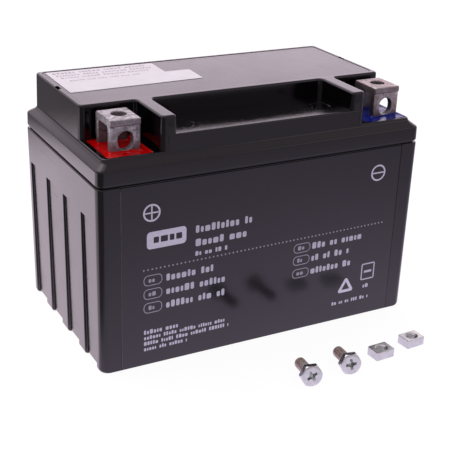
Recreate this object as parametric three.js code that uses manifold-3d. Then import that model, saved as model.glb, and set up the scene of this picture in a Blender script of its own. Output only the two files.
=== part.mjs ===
// A sealed 12 V motorcycle battery with a gelled electrolyte, in millimetres, +Z up.
// The origin is the centre of the case's footprint, on the plane the battery stands on.
// +X runs along the long label face, from the positive to the negative terminal.
// +Y runs from the label face (front) to the plain back.
// Two terminal screws and two square nuts lie on the same plane, in front of the label face.
import * as THREE from "three";
import { mergeVertices } from "three/addons/utils/BufferGeometryUtils.js";
import Module from "manifold-3d";

const wasm = await Module();
wasm.setup();
const radians = THREE.MathUtils.degToRad;

// ---------------------------------------------------------------- shared dimensions
const HALF_LENGTH = 75;
const HALF_WIDTH = 43.5;
const HEIGHT = 105; // top of the lid block
const CASE_TOP = 80.2; // rim of the case, the lower side of the weld seam
const LID_BOTTOM = 81.2; // outer edge of the lid, the upper side of the weld seam
const GAP = 0.3; // room between neighbouring solids

const CELLS = 6;
const WALL = 1.6; // partitions between cells
const INNER_X = 70.9;
const INNER_Y = 41;
const CELL_FLOOR = 2.5;
const CELL_WIDTH = (2 * INNER_X - (CELLS - 1) * WALL) / CELLS;
const CELL_X = Array.from(
  { length: CELLS },
  (_, i) => -INNER_X + CELL_WIDTH / 2 + i * (CELL_WIDTH + WALL),
);
const STRAP_Y = 25.3; // plate straps stand this far in front of and behind the middle
const STRAP = { width: 11, bottom: 72.8, top: 77 };

const NOTCH_BACK = -15.3; // back wall of the terminal notches
const RIM_TOP = 90.9; // rim round each epoxy pool
const POOL = { front: -38.5, back: NOTCH_BACK, floor: 87.4, top: 90.4 };
const VENT_Y = 14;
const PLATE = { x: 68.8, front: -12.3, back: 36.8, bottom: 103, top: 104.8 }; // cover plate

const POST_R = 4.5;
const POST_Y = -STRAP_Y; // the posts stand on the front straps
const POST_SIDES = 28;
// The negative pool reaches closer to the end of the block.
const POLES = [
  { name: "positive", x: -59.1, poolX: [-68.8, -49.7], resin: "red" },
  { name: "negative", x: 62.9, poolX: [49.7, 70.1], resin: "blue" },
];

// ---------------------------------------------------------------- solids and outlines
function solid(geometry) {
  const flat = geometry.index ? geometry.toNonIndexed() : geometry;
  const bare = new THREE.BufferGeometry();
  bare.setAttribute("position", flat.getAttribute("position").clone());
  const merged = mergeVertices(bare, 1e-4);
  const corners = merged.index.array;
  const kept = []; // triangles that have not collapsed in the merge
  for (let i = 0; i < corners.length; i += 3) {
    const [first, second, third] = corners.slice(i, i + 3);
    if (first !== second && second !== third && third !== first) kept.push(first, second, third);
  }
  return new wasm.Manifold(
    new wasm.Mesh({
      numProp: 3,
      vertProperties: new Float32Array(merged.getAttribute("position").array),
      triVerts: new Uint32Array(kept),
    }),
  );
}
const union = (parts) => parts.reduce((whole, part) => whole.add(part));
const cutAll = (body, cuts) => cuts.reduce((left, cut) => left.subtract(cut), body);

const shapeOf = (points) => new THREE.Shape(points.map(([x, y]) => new THREE.Vector2(x, y)));
const prism = (points, depth) =>
  new THREE.ExtrudeGeometry(shapeOf(points), { depth, bevelEnabled: false, steps: 1 });
// A profile in X and Y, extruded along Z.
const upright = (points, bottom, top) => solid(prism(points, top - bottom).translate(0, 0, bottom));
// A profile in X and Z, extruded along Y.
const alongY = (points, front, back) =>
  solid(prism(points, back - front).rotateX(Math.PI / 2).translate(0, back, 0));
// A profile in Y and Z, extruded along X.
const PROFILE_YZ = new THREE.Matrix4().makeBasis(
  new THREE.Vector3(0, 1, 0),
  new THREE.Vector3(0, 0, 1),
  new THREE.Vector3(1, 0, 0),
);
const alongX = (points, left, right) =>
  solid(prism(points, right - left).applyMatrix4(PROFILE_YZ).translate(left, 0, 0));

function block(left, right, front, back, bottom, top) {
  const box = new THREE.BoxGeometry(right - left, back - front, top - bottom);
  return solid(box.translate((left + right) / 2, (front + back) / 2, (bottom + top) / 2));
}
function disc(radius, x, y, bottom, top, sides = 24) {
  const cylinder = new THREE.CylinderGeometry(radius, radius, top - bottom, sides);
  return solid(cylinder.rotateX(Math.PI / 2).translate(x, y, (bottom + top) / 2));
}
// A closed profile of [radius, height] pairs turned about Z, in whichever order faces outwards.
function turned(profile, sides) {
  const make = (pairs) => {
    const points = pairs.map(([radius, height]) => new THREE.Vector2(radius, height));
    return solid(new THREE.LatheGeometry(points, sides).rotateX(Math.PI / 2));
  };
  const made = make(profile);
  return made.volume() > 0 ? made : make([...profile].reverse());
}

// Angles are in degrees.
function arc(centreX, centreY, radius, from, to, steps) {
  return Array.from({ length: steps + 1 }, (_, i) => {
    const angle = radians(from + ((to - from) * i) / steps);
    return [centreX + radius * Math.cos(angle), centreY + radius * Math.sin(angle)];
  });
}
function roundRect(left, right, front, back, radius, steps = 5) {
  return [
    ...arc(right - radius, front + radius, radius, -90, 0, steps),
    ...arc(right - radius, back - radius, radius, 0, 90, steps),
    ...arc(left + radius, back - radius, radius, 90, 180, steps),
    ...arc(left + radius, front + radius, radius, 180, 270, steps),
  ];
}
// An outline mirrored in X that still runs the same way round.
const mirrored = (points) => points.map(([x, y]) => [-x, y]).reverse();

// A solid through a stack of outlines with the same number of points:
// an extrusion whose levels are moved onto the outlines.
function loft(rings, heights) {
  const steps = rings.length - 1;
  const geometry = new THREE.ExtrudeGeometry(shapeOf(rings[0]), {
    depth: steps,
    steps,
    bevelEnabled: false,
  });
  const key = (x, y) => x.toFixed(3) + "," + y.toFixed(3);
  const ringIndex = new Map(rings[0].map(([x, y], i) => [key(x, y), i]));
  const position = geometry.getAttribute("position");
  for (let i = 0; i < position.count; i++) {
    const level = Math.round(position.getZ(i));
    const [x, y] = rings[level][ringIndex.get(key(position.getX(i), position.getY(i)))];
    position.setXYZ(i, x, y, heights[level]);
  }
  return solid(geometry);
}

// ---------------------------------------------------------------- materials and meshes
const MATERIALS = {
  plastic: { color: 0x26242a, roughness: 0.35, metalness: 0 },
  cover: { color: 0x2a282e, roughness: 0.4, metalness: 0 },
  rubber: { color: 0x1b1b1c, roughness: 0.8, metalness: 0 },
  lead: { color: 0x8f8a90, roughness: 0.5, metalness: 0.8 },
  red: { color: 0x960000, roughness: 0.25, metalness: 0 },
  blue: { color: 0x141a6e, roughness: 0.25, metalness: 0 },
  nickel: { color: 0xc9c6cc, roughness: 0.25, metalness: 1 },
  film: { color: 0x2e2c33, roughness: 0.3, metalness: 0 },
  paper: { color: 0xe8dee6, roughness: 0.6, metalness: 0 },
  positive: { color: 0x5a3a2c, roughness: 0.8, metalness: 0.1 },
  negative: { color: 0x7d8085, roughness: 0.6, metalness: 0.5 },
  mat: { color: 0xe9e9e4, roughness: 0.9, metalness: 0 },
  gel: { color: 0xd8dcdc, roughness: 0.2, metalness: 0 },
};
const group = new THREE.Group();

function piece(name, made, material, parent = group) {
  const { vertProperties, triVerts } = made.getMesh();
  const indexed = new THREE.BufferGeometry();
  indexed.setAttribute("position", new THREE.BufferAttribute(new Float32Array(vertProperties), 3));
  indexed.setIndex(new THREE.BufferAttribute(new Uint32Array(triVerts), 1));
  const geometry = indexed.toNonIndexed();
  geometry.computeVertexNormals();
  const mesh = new THREE.Mesh(geometry, new THREE.MeshStandardMaterial(MATERIALS[material]));
  mesh.name = name;
  parent.add(mesh);
}

// ---------------------------------------------------------------- case
const DRAFT_X = 0.4; // moulding draft of the case over its height
const DRAFT_Y = 0.2;
const CORNER_R = 3.3; // upright corners
const FOOT_R = 1.5; // rounded bottom edge of the two short ends
const FOOT_HEIGHTS = [0, 30, 60, 90].map((angle) => FOOT_R * (1 - Math.cos(radians(angle))));
// Upright channels in both short ends. Their floors lean in by the draft towards the foot.
const CHANNEL = { depth: 0.95, width: 13.5, top: 64.5, draft: 0.65, roofRise: 0.8 };
const CHANNEL_Y = [-31.2, -10.4, 10.4, 31.2];
// Label film on the front, in a shallow panel. The inset is from the case's widest front.
const LABEL = { half: 65.6, recess: 0.45, film: 0.15, inset: 0.1, bottom: 0.6, topMargin: 0.5 };
const WELD_Z = 75;
const WELD_HOLE_R = 3.5;

// The foot is rounded along the two short ends only. The long bottom edges stay sharp.
const footInset = (z) =>
  z < FOOT_R ? FOOT_R - Math.sqrt(FOOT_R ** 2 - (FOOT_R - z) ** 2) : 0;

// Outline of the case at a height: the draft narrows it towards the foot.
function caseRing(z) {
  const low = 1 - z / CASE_TOP;
  const x = HALF_LENGTH - DRAFT_X * low - footInset(z);
  const y = HALF_WIDTH - DRAFT_Y * low;
  return roundRect(-x, x, -y, y, CORNER_R);
}

// Profile of a channel in the +X end, in X and Z.
function channelProfile() {
  const { depth, draft, top, roofRise } = CHANNEL;
  const outside = HALF_LENGTH + 2;
  const floorX = (z) => HALF_LENGTH - depth - draft * (1 - z / top) - footInset(z);
  // The roof slopes a little, so that the mould lets go of it.
  // The floor follows the rounded foot.
  return [
    [floorX(0), -1],
    [outside, -1],
    [outside, top + roofRise],
    ...[top, ...FOOT_HEIGHTS.slice().reverse()].map((z) => [floorX(z), z]),
  ];
}

// A cylinder along X on the partition between cells i and i + 1.
// The straps of neighbouring cells meet there, behind and in front in turn.
function weldCylinder(i, radius, length) {
  const x = (CELL_X[i] + CELL_X[i + 1]) / 2;
  const y = i % 2 === 0 ? STRAP_Y : -STRAP_Y;
  const cylinder = new THREE.CylinderGeometry(radius, radius, length, 16);
  return solid(cylinder.rotateZ(Math.PI / 2).translate(x, y, WELD_Z));
}

function batteryCase() {
  const heights = [...FOOT_HEIGHTS, CASE_TOP];
  const half = CELL_WIDTH / 2;
  const cuts = CELL_X.map((x) =>
    block(x - half, x + half, -INNER_Y, INNER_Y, CELL_FLOOR, CASE_TOP + 5),
  );
  const profile = channelProfile();
  for (const end of [mirrored(profile), profile])
    for (const y of CHANNEL_Y)
      cuts.push(alongY(end, y - CHANNEL.width / 2, y + CHANNEL.width / 2));
  // Label panel, open at the seam and at the foot.
  const panelHalf = LABEL.half + GAP;
  const panelBack = -HALF_WIDTH + LABEL.recess;
  cuts.push(block(-panelHalf, panelHalf, -HALF_WIDTH - 2, panelBack, -1, CASE_TOP + 1));
  for (let i = 0; i < CELLS - 1; i++) cuts.push(weldCylinder(i, WELD_HOLE_R, WALL + 2));
  return cutAll(loft(heights.map(caseRing), heights), cuts);
}

function frontLabel() {
  const { half, inset, film, bottom, topMargin } = LABEL;
  const front = -HALF_WIDTH + inset;
  return block(-half, half, front, front + film, bottom, CASE_TOP - topMargin);
}

piece("case", batteryCase(), "plastic");
piece("front_label", frontLabel(), "film");

// ---------------------------------------------------------------- inside of each cell
// Electrodes stand in the cell's Y-Z plane: four negative and three positive plates in turn,
// with a folded mat between them.
const NEGATIVE_T = 1.5;
const POSITIVE_T = 1.9;
const SLIT = 1.4;
const MAT_T = 0.8;
const ELECTRODE = { halfY: 38.8, bottom: 5.4, top: 69, lugTop: 73 };
const MAT = {
  inner: ELECTRODE.halfY + 0.3, // the folds lie between these two distances from the middle
  outer: ELECTRODE.halfY + 0.3 + MAT_T,
  bottom: ELECTRODE.bottom - 0.4,
  top: ELECTRODE.top + 0.8,
};
const GEL_TOP = 68.5;
const STACK_HALF = (4 * NEGATIVE_T + 3 * POSITIVE_T + 6 * SLIT) / 2;

// Left and right face of each plate, from the cell's centre.
function plateSlots() {
  const slots = [];
  let left = -STACK_HALF;
  for (let i = 0; i < 7; i++) {
    const positive = i % 2 === 1;
    const right = left + (positive ? POSITIVE_T : NEGATIVE_T);
    slots.push({ left, right, positive });
    left = right + SLIT;
  }
  return slots;
}
const SLOTS = plateSlots();

function plates(cell, positive) {
  const x = CELL_X[cell];
  const y = positive === (cell % 2 === 0) ? -STRAP_Y : STRAP_Y;
  const front = y - STRAP.width / 2;
  const back = y + STRAP.width / 2;
  const { halfY, bottom, top, lugTop } = ELECTRODE;
  const parts = SLOTS.filter((slot) => slot.positive === positive).flatMap((slot) => [
    block(x + slot.left, x + slot.right, -halfY, halfY, bottom, top),
    block(x + slot.left, x + slot.right, front, back, top - 1, lugTop),
  ]);
  // The strap joins the lugs. It reaches the partition where its neighbour waits,
  // to the left from positive plates and to the right from negative ones.
  // Under a terminal's post it ends with the stack.
  const underPost = cell === (positive ? 0 : CELLS - 1);
  const reach = underPost ? STACK_HALF : CELL_WIDTH / 2 - GAP;
  const [toLeft, toRight] = positive ? [reach, STACK_HALF] : [STACK_HALF, reach];
  parts.push(block(x - toLeft, x + toRight, front, back, STRAP.bottom, STRAP.top));
  return union(parts);
}

// The mat runs up and down the slits, round the front edge of each positive plate
// and the back edge of the inner negative ones.
function separatorMat(cell) {
  const { inner, outer, bottom, top } = MAT;
  const half = MAT_T / 2;
  const middles = SLOTS.slice(1).map(
    (slot, i) => CELL_X[cell] + (SLOTS[i].right + slot.left) / 2,
  );
  const legs = middles.map((x) => block(x - half, x + half, -outer, outer, bottom, top));
  // Fold i joins legs i and i + 1, at the front when i is even and at the back when it is odd.
  const folds = middles.slice(1).map((next, i) => {
    const [front, back] = i % 2 === 0 ? [-outer, -inner] : [inner, outer];
    return block(middles[i] - half, next + half, front, back, bottom, top);
  });
  return union([...legs, ...folds]);
}

function gelElectrolyte(cell) {
  const x = CELL_X[cell];
  const halfX = CELL_WIDTH / 2 - GAP;
  const halfY = INNER_Y - GAP;
  const holeX = STACK_HALF + GAP;
  const holeY = MAT.outer + GAP;
  return block(x - halfX, x + halfX, -halfY, halfY, CELL_FLOOR + GAP, GEL_TOP).subtract(
    block(x - holeX, x + holeX, -holeY, holeY, MAT.bottom - GAP, 90),
  );
}

for (let i = 0; i < CELLS; i++) {
  piece("positive_plates_" + (i + 1), plates(i, true), "positive");
  piece("negative_plates_" + (i + 1), plates(i, false), "negative");
  piece("separator_mat_" + (i + 1), separatorMat(i), "mat");
  piece("gel_electrolyte_" + (i + 1), gelElectrolyte(i), "gel");
}
for (let i = 0; i < CELLS - 1; i++)
  piece("cell_weld_" + (i + 1), weldCylinder(i, WELD_HOLE_R - GAP, WALL), "lead");

// ---------------------------------------------------------------- lid
const SHOULDER = 87.4; // top of the lid's upright band
const BLOCK_X = 71.3;
const BLOCK_FRONT = -40;
const BLOCK_BACK = 39.5;
const BLOCK_R = 2;
// Outlines of the upright band, the chamfered shoulder, and the block with its rounded top edge.
// Columns: half length, front y, back y, corner radius, z.
const LID_RINGS = [
  [74.9, -43.4, 43.4, 3.2, LID_BOTTOM],
  [74.3, -43.1, 43.1, 3.1, SHOULDER - 0.3],
  [73.9, -42.7, 42.7, 3.0, SHOULDER],
  [72.4, -40.9, 40.7, 2.5, 88.8],
  [BLOCK_X + 0.2, -40.2, 39.8, 2.1, 89.5],
  [BLOCK_X, BLOCK_FRONT, BLOCK_BACK, BLOCK_R, 90.3],
  [BLOCK_X - 0.4, BLOCK_FRONT, BLOCK_BACK - 0.1, BLOCK_R - 0.1, HEIGHT - 0.25],
  [BLOCK_X - 0.6, BLOCK_FRONT + 0.2, BLOCK_BACK - 0.3, BLOCK_R - 0.2, HEIGHT],
];
const SKIRT = { x: 73.9, y: 42.4, radius: 2.6 };
const NOTCH_X = 47.3; // inner wall of the terminal notches in the front corners
const NOTCH_R = 2.5;
const POCKET = { x: 40.3, floor: 97.4, back: -15.5, radius: 2.5 }; // between the two ribs
const SEAT_GAP = 0.35; // round the cover plate
const CHAMBER_INSET = 1.6; // the vent chamber is this much smaller than the cover plate
const DECK_TOP = 97; // deck under the cover plate that carries the vent towers
const TOWER = { radius: 5, bore: 3.2, top: 100.4 };
const HEADROOM = { x: 68.6, bottom: CASE_TOP - 1, lowTop: 83.4 };
const RING_SEAT = { radius: 7.4, bottom: 85 };
const GATE_MARK = { x: 32, y: -28, outer: 4.8, inner: 3.6, depth: 0.3 };
const FINGER_SLOT = {
  inner: BLOCK_X - 2.6,
  outer: PLATE.x + 1.4,
  front: 10.1,
  back: 14.7,
  bottom: PLATE.bottom + 0.6,
};
// Cuts that open to the outside run out to these places.
const OUT_X = 80;
const OUT_FRONT = -50;
const OUT_TOP = HEIGHT + 5;

function lidBody() {
  const rings = LID_RINGS.map(([x, front, back, radius]) => roundRect(-x, x, front, back, radius));
  const heights = LID_RINGS.map((row) => row[4]);
  // Weld land: a narrower skirt that stands on the case's rim and leaves the seam as a groove.
  const { x, y, radius } = SKIRT;
  const skirt = upright(roundRect(-x, x, -y, y, radius), CASE_TOP + GAP, LID_BOTTOM + 1);
  return loft(rings, heights).add(skirt);
}

function notchAndPoolCuts() {
  // The notch's outer corner is rounded where its back wall meets the block's end.
  const corner = arc(-BLOCK_X + NOTCH_R, NOTCH_BACK + NOTCH_R, NOTCH_R, 180, 270, 5);
  const outline = [
    [-OUT_X, OUT_FRONT],
    [-NOTCH_X, OUT_FRONT],
    [-NOTCH_X, NOTCH_BACK],
    ...corner.reverse(),
    [-OUT_X, NOTCH_BACK + NOTCH_R],
  ];
  const notches = [outline, mirrored(outline)].map((points) => upright(points, RIM_TOP, OUT_TOP));
  const pools = POLES.map(({ poolX: [left, right] }) =>
    upright(roundRect(left, right, POOL.front, POOL.back, 1.2, 3), POOL.floor, RIM_TOP + 1),
  );
  return [...notches, ...pools];
}

// Pocket between the ribs, open to the front.
function pocketCut() {
  const { x, back, radius, floor } = POCKET;
  const outline = [
    [x, OUT_FRONT],
    ...arc(x - radius, back - radius, radius, 0, 90, 4),
    ...arc(-x + radius, back - radius, radius, 90, 180, 4),
    [-x, OUT_FRONT],
  ];
  return upright(outline, floor, OUT_TOP);
}

// Seat of the cover plate, and the vent chamber below it.
function coverCuts() {
  const cut = (grow, bottom) => {
    const x = PLATE.x + grow;
    return block(-x, x, PLATE.front - grow, PLATE.back + grow, bottom, OUT_TOP);
  };
  return [cut(SEAT_GAP, PLATE.bottom - 0.1), cut(-CHAMBER_INSET, DECK_TOP)];
}

// Head room over one cell.
function headroomCuts(cell) {
  const { bottom, lowTop } = HEADROOM;
  const left = cell === 0 ? -HEADROOM.x : CELL_X[cell] - CELL_WIDTH / 2;
  const right = cell === CELLS - 1 ? HEADROOM.x : CELL_X[cell] + CELL_WIDTH / 2;
  const cuts = [
    block(left, right, POCKET.back + 3, 36.9, bottom, DECK_TOP - 2), // under the deck
    block(left, right, -39.5, 39.8, bottom, lowTop), // low space over the whole cell
  ];
  const pocketLeft = Math.max(left, -POCKET.x + 2);
  const pocketRight = Math.min(right, POCKET.x - 2);
  if (pocketRight - pocketLeft > 3) {
    const top = POCKET.floor - 2.4;
    cuts.push(block(pocketLeft, pocketRight, -37.4, POCKET.back + 3.1, bottom, top));
  }
  return cuts;
}

// Hole for a terminal's post, with a seat for its sealing ring.
const postCuts = ({ x }) => [
  disc(POST_R + GAP, x, POST_Y, 80, POOL.floor + 1, POST_SIDES),
  disc(RING_SEAT.radius, x, POST_Y, RING_SEAT.bottom, POOL.floor + 1, POST_SIDES),
];

// A shallow ring-shaped gate mark on the pocket's floor.
function gateMarkCut(x) {
  const { y, outer, inner, depth } = GATE_MARK;
  return disc(outer, x, y, POCKET.floor - depth, POCKET.floor + 1).subtract(
    disc(inner, x, y, POCKET.floor - 1, POCKET.floor + 2),
  );
}

// Finger slots in both ends of the block, where the cover plate is lifted out.
function fingerSlotCuts() {
  const { inner, outer, front, back, bottom } = FINGER_SLOT;
  return [[-outer, -inner], [inner, outer]].map(([left, right]) =>
    block(left, right, front, back, bottom, HEIGHT + 1),
  );
}

function lid() {
  const hollow = cutAll(lidBody(), [
    ...notchAndPoolCuts(),
    pocketCut(),
    ...coverCuts(),
    ...CELL_X.flatMap((_, i) => headroomCuts(i)),
  ]);
  // Vent towers on the deck, one over each cell.
  const towers = CELL_X.map((x) => disc(TOWER.radius, x, VENT_Y, DECK_TOP - 0.5, TOWER.top));
  return cutAll(union([hollow, ...towers]), [
    ...CELL_X.map((x) => disc(TOWER.bore, x, VENT_Y, DECK_TOP - 4, 101)),
    ...POLES.flatMap(postCuts),
    ...[-GATE_MARK.x, GATE_MARK.x].map(gateMarkCut),
    ...fingerSlotCuts(),
  ]);
}

piece("lid", lid(), "plastic");

// ---------------------------------------------------------------- cover plate and vent caps
// Outline of the paper label in X and Y: an L, wider at the left.
const TOP_LABEL = [
  [-67.8, 3.4], [-7.2, 4.9], [-6.6, 19.8], [-18.4, 19.9], [-18.0, 35.3], [-67.6, 36.3],
];
// Rubber cup valve over a vent tower: radius, z.
const VENT_CUP = [
  [0, 100.7], [5.3, 100.7], [5.3, 97.6], [6.5, 97.4], [6.6, 101.4], [6.2, 101.8], [0, 101.8],
];

function coverPlate() {
  const { x, front, back, bottom, top } = PLATE;
  return upright(roundRect(-x, x, front, back, 2, 4), bottom, top);
}

piece("cover_plate", coverPlate(), "cover");
piece("top_label", upright(TOP_LABEL, PLATE.top + 0.05, HEIGHT), "paper");
CELL_X.forEach((x, i) => {
  piece("vent_cap_" + (i + 1), turned(VENT_CUP, 28).translate([x, VENT_Y, 0]), "rubber");
});

// ---------------------------------------------------------------- terminals, seals and rings
const TERMINAL = {
  half: 6.3,
  front: -33,
  back: -17.5,
  top: 103.5,
  base: POOL.floor + GAP, // underside of the foot plate, under the epoxy
  foot: 1.7, // thicknesses of the foot plate, top slab and two walls
  slab: 3.1,
  frontWall: 3,
  backWall: 2.7,
};
const SCREW_HOLE = { radius: 3.2, offsetX: 0.4, y: -25.2 };
const WALL_SLOT = { radius: 3.1, lowZ: 94.2, highZ: 95.5 };
const O_RING = { radius: 5.95, tube: 1.1, z: 86.25 };

function terminal(x) {
  const { half, front, back, top, base, foot, slab, frontWall, backWall } = TERMINAL;
  // Outline in Y and Z round the foot, front wall, back wall and top slab.
  const side = [
    [front + 0.3, base], [back, base], [back, top - 1], [back - 1, top],
    [front - 0.2, top], [front - 0.5, top - 0.4], [front - 0.5, top - 2], [front, top - 2.4],
    [front, RIM_TOP + 0.4], [front + 0.3, RIM_TOP + 0.2],
  ];
  // The open window between them, with its upper corners cut off.
  const windowFront = front + frontWall;
  const windowBack = back - backWall;
  const windowTop = top - slab;
  const window = [
    [windowFront, base + foot], [windowBack, base + foot],
    [windowBack, windowTop - 1], [windowBack - 1, windowTop],
    [windowFront + 1, windowTop], [windowFront, windowTop - 1],
  ];
  // Upright slot in the front wall, in X and Z.
  const slot = [
    ...arc(x, WALL_SLOT.lowZ, WALL_SLOT.radius, 180, 360, 10),
    ...arc(x, WALL_SLOT.highZ, WALL_SLOT.radius, 0, 180, 10),
  ];
  const holeX = x + SCREW_HOLE.offsetX;
  return cutAll(alongX(side, x - half, x + half), [
    alongX(window, x - half - 1, x + half + 1),
    // Clearance hole for the screw in the top slab.
    disc(SCREW_HOLE.radius, holeX, SCREW_HOLE.y, windowTop - 1, top + 1, 28),
    alongY(slot, front - 2, windowFront + 1),
  ]).add(disc(POST_R, x, POST_Y, STRAP.top + GAP, base + 0.5, POST_SIDES));
}

// Resin fills the pool over the terminal's foot plate and round its two walls.
function epoxySeal({ x, poolX: [poolLeft, poolRight] }) {
  const { half, front, back, base, foot, frontWall, backWall } = TERMINAL;
  const outline = roundRect(
    poolLeft + GAP, poolRight - GAP, POOL.front + GAP, POOL.back - GAP, 0.9, 3,
  );
  const cut = (from, to, top) =>
    block(x - half - GAP, x + half + GAP, from - GAP, to + GAP, 80, top);
  return cutAll(upright(outline, POOL.floor + 0.1, POOL.top), [
    cut(front, back, base + foot + GAP),
    cut(front, front + frontWall, 100),
    cut(back - backWall, back, 100),
  ]);
}

function oRing(x) {
  const torus = new THREE.TorusGeometry(O_RING.radius, O_RING.tube, 10, 28);
  return solid(torus.translate(x, POST_Y, O_RING.z));
}

for (const pole of POLES) {
  piece(pole.name + "_terminal", terminal(pole.x), "lead");
  piece(pole.name + "_epoxy_seal", epoxySeal(pole), pole.resin);
  piece(pole.name + "_o_ring", oRing(pole.x), "rubber");
}

// ---------------------------------------------------------------- loose terminal hardware
// M5 by 12 screw with a hexagon head and a cross recess.
const SCREW = { flats: 8.5, head: 3, face: 4.2, shank: 2.4, length: 12, tipChamfer: 0.6 };
const CROSS = { reach: 2.5, half: 0.55, depth: 1.6 };
// Each screw lies on one flat of its head and on the tip of its shank, so its axis tilts a little.
const SCREW_TILT = Math.atan((SCREW.flats / 2 - SCREW.shank) / SCREW.length);
const SCREW_AZIMUTH = radians(12); // swung from +Y towards +X
const SCREW_SPIN = Math.PI / 3; // about its own axis
const NUT = { width: 9.2, depth: 6.9, height: 3.9, hole: 2.1, chamfer: 0.6, corner: 0.5 };

// Built head down: the head's face at z = 0, the round chamfer of the face, then the shank.
function screw(crossTurn) {
  const { flats, head, face, shank, length, tipChamfer } = SCREW;
  const radius = flats / 2 / Math.cos(Math.PI / 6);
  const hexagon = Array.from({ length: 6 }, (_, i) => [
    radius * Math.cos((i * Math.PI) / 3),
    radius * Math.sin((i * Math.PI) / 3),
  ]);
  const headRound = [
    [0, 0], [face, 0], [face + 0.35, 0.5], [radius, 1.4], [radius, head], [0, head],
  ];
  const tip = head + length;
  const shankProfile = [
    [0, head - 0.5], [shank, head - 0.5], [shank, tip - tipChamfer],
    [shank - tipChamfer, tip], [0, tip],
  ];
  const { reach, half, depth } = CROSS;
  const cross = block(-reach, reach, -half, half, -1, depth)
    .add(block(-half, half, -reach, reach, -1, depth))
    .rotate([0, 0, crossTurn]);
  return upright(hexagon, 0, head)
    .intersect(turned(headRound, 24))
    .add(turned(shankProfile, 20))
    .subtract(cross);
}

function layScrew(name, x, y, crossTurn) {
  // The axis starts along +Z. It is turned down to lie along +Y, dipped by the tilt,
  // and swung to the azimuth.
  const pose = new THREE.Matrix4()
    .makeRotationZ(-SCREW_AZIMUTH)
    .multiply(new THREE.Matrix4().makeRotationX(-Math.PI / 2 - SCREW_TILT))
    .multiply(new THREE.Matrix4().makeRotationZ(SCREW_SPIN));
  const made = screw(crossTurn).transform(pose.toArray());
  const lowest = made.boundingBox().min[2];
  const holder = new THREE.Group();
  piece(name, made.translate([x, y, -lowest]), "nickel", holder);
  group.add(holder);
}

function nut() {
  const { width, depth, height, hole, chamfer, corner } = NUT;
  // Half of the hole, with a chamfer at the face it starts from.
  const halfHole = (z, up) => {
    const end = z + up * (height / 2 + 0.05);
    const profile = [[0, z], [hole + chamfer, z], [hole, z + up * chamfer], [hole, end], [0, end]];
    return turned(profile, 24);
  };
  const outline = roundRect(-width / 2, width / 2, -depth / 2, depth / 2, corner, 2);
  return cutAll(upright(outline, 0, height), [halfHole(0, 1), halfHole(height, -1)]);
}

function layNut(name, x, y, turn) {
  const pose = new THREE.Matrix4().makeRotationZ(radians(turn)).setPosition(x, y, 0);
  piece(name, nut().transform(pose.toArray()), "nickel");
}

layScrew("terminal_screw_1", -1.25, -86.3, 0);
layScrew("terminal_screw_2", 18.3, -85.3, 23);
layNut("terminal_nut_1", 38.6, -77.9, 3);
layNut("terminal_nut_2", 56.7, -75.0, 4);

export default group;
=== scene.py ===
import math
import random
from contextlib import contextmanager

import bmesh
import bpy
from mathutils import Matrix, Vector, noise


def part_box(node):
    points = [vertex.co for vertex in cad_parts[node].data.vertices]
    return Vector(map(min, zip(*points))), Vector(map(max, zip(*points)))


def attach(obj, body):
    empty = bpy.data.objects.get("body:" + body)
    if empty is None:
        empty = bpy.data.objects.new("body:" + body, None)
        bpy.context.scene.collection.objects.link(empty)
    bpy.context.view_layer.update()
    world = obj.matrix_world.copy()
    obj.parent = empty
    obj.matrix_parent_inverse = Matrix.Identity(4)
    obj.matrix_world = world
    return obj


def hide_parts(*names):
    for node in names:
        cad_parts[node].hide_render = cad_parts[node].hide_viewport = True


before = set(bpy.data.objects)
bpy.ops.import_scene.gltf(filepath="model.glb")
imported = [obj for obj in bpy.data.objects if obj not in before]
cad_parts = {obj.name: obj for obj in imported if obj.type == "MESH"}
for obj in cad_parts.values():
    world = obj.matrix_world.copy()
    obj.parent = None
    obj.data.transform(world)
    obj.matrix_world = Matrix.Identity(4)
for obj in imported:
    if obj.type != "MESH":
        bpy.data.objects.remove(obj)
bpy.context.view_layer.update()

MM = 0.001
scene = bpy.context.scene

# ------------------------------------------------------------------ driving dimensions
# case, with six cells in a row along X
HALF_LENGTH, HALF_WIDTH, CASE_TOP = 75.0, 43.5, 80.2
FOOT_RADIUS = 1.5
INNER_X, INNER_Y, CELL_FLOOR, WALL = 70.9, 41.0, 2.5, 1.6
CELL_WIDTH = (2 * INNER_X - 5 * WALL) / 6
CELL_X = [-INNER_X + CELL_WIDTH / 2 + i * (CELL_WIDTH + WALL) for i in range(6)]
WALL_X = [(a + b) / 2 for a, b in zip(CELL_X, CELL_X[1:])]
CHANNEL_DEPTH, CHANNEL_DRAFT, CHANNEL_TOP = 0.95, 0.65, 64.5
CHANNEL_PITCH, CHANNEL_HALF = 20.8, 6.75
# front film
FILM_Y, FILM_HALF = -43.4, 65.8
# lid
RIM_TOP, HEIGHT = 90.9, 105.0
BLOCK_X, BLOCK_FRONT, BLOCK_BACK = 71.3, -40.0, 39.5
NOTCH_X, NOTCH_BACK = 47.3, -15.3
POCKET_X, POCKET_BACK, POCKET_FLOOR = 40.3, -15.5, 97.4
DECK_TOP, VENT_Y = 97.0, 14.0
# resin pools: X range for the -X and +X side
POOL = {-1: (-68.8, -49.7), 1: (49.7, 70.1)}
POOL_FRONT, POOL_BACK, POOL_FLOOR, POOL_TOP = -38.5, -15.25, 87.4, 90.4
# cover plate and its seat in the lid
SEAT_X, SEAT_FRONT, SEAT_BACK, SEAT_GAP = 69.1, -12.6, 37.1, 0.05
PLATE_BOTTOM, PLATE_TOP = 103.0, 104.8
# terminals: an arch with a slab on a front and a back leg
TERMINAL_X = {-1: -59.1, 1: 62.9}
TERMINAL_HALF, TERMINAL_FRONT, TERMINAL_BACK, TERMINAL_TOP = 6.3, -33.0, -17.5, 103.5
SLAB, FRONT_LEG, BACK_LEG = 3.1, 3.0, 2.7
POST_Y = -25.3
SIDE_NAME = {-1: "positive", 1: "negative"}
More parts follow.
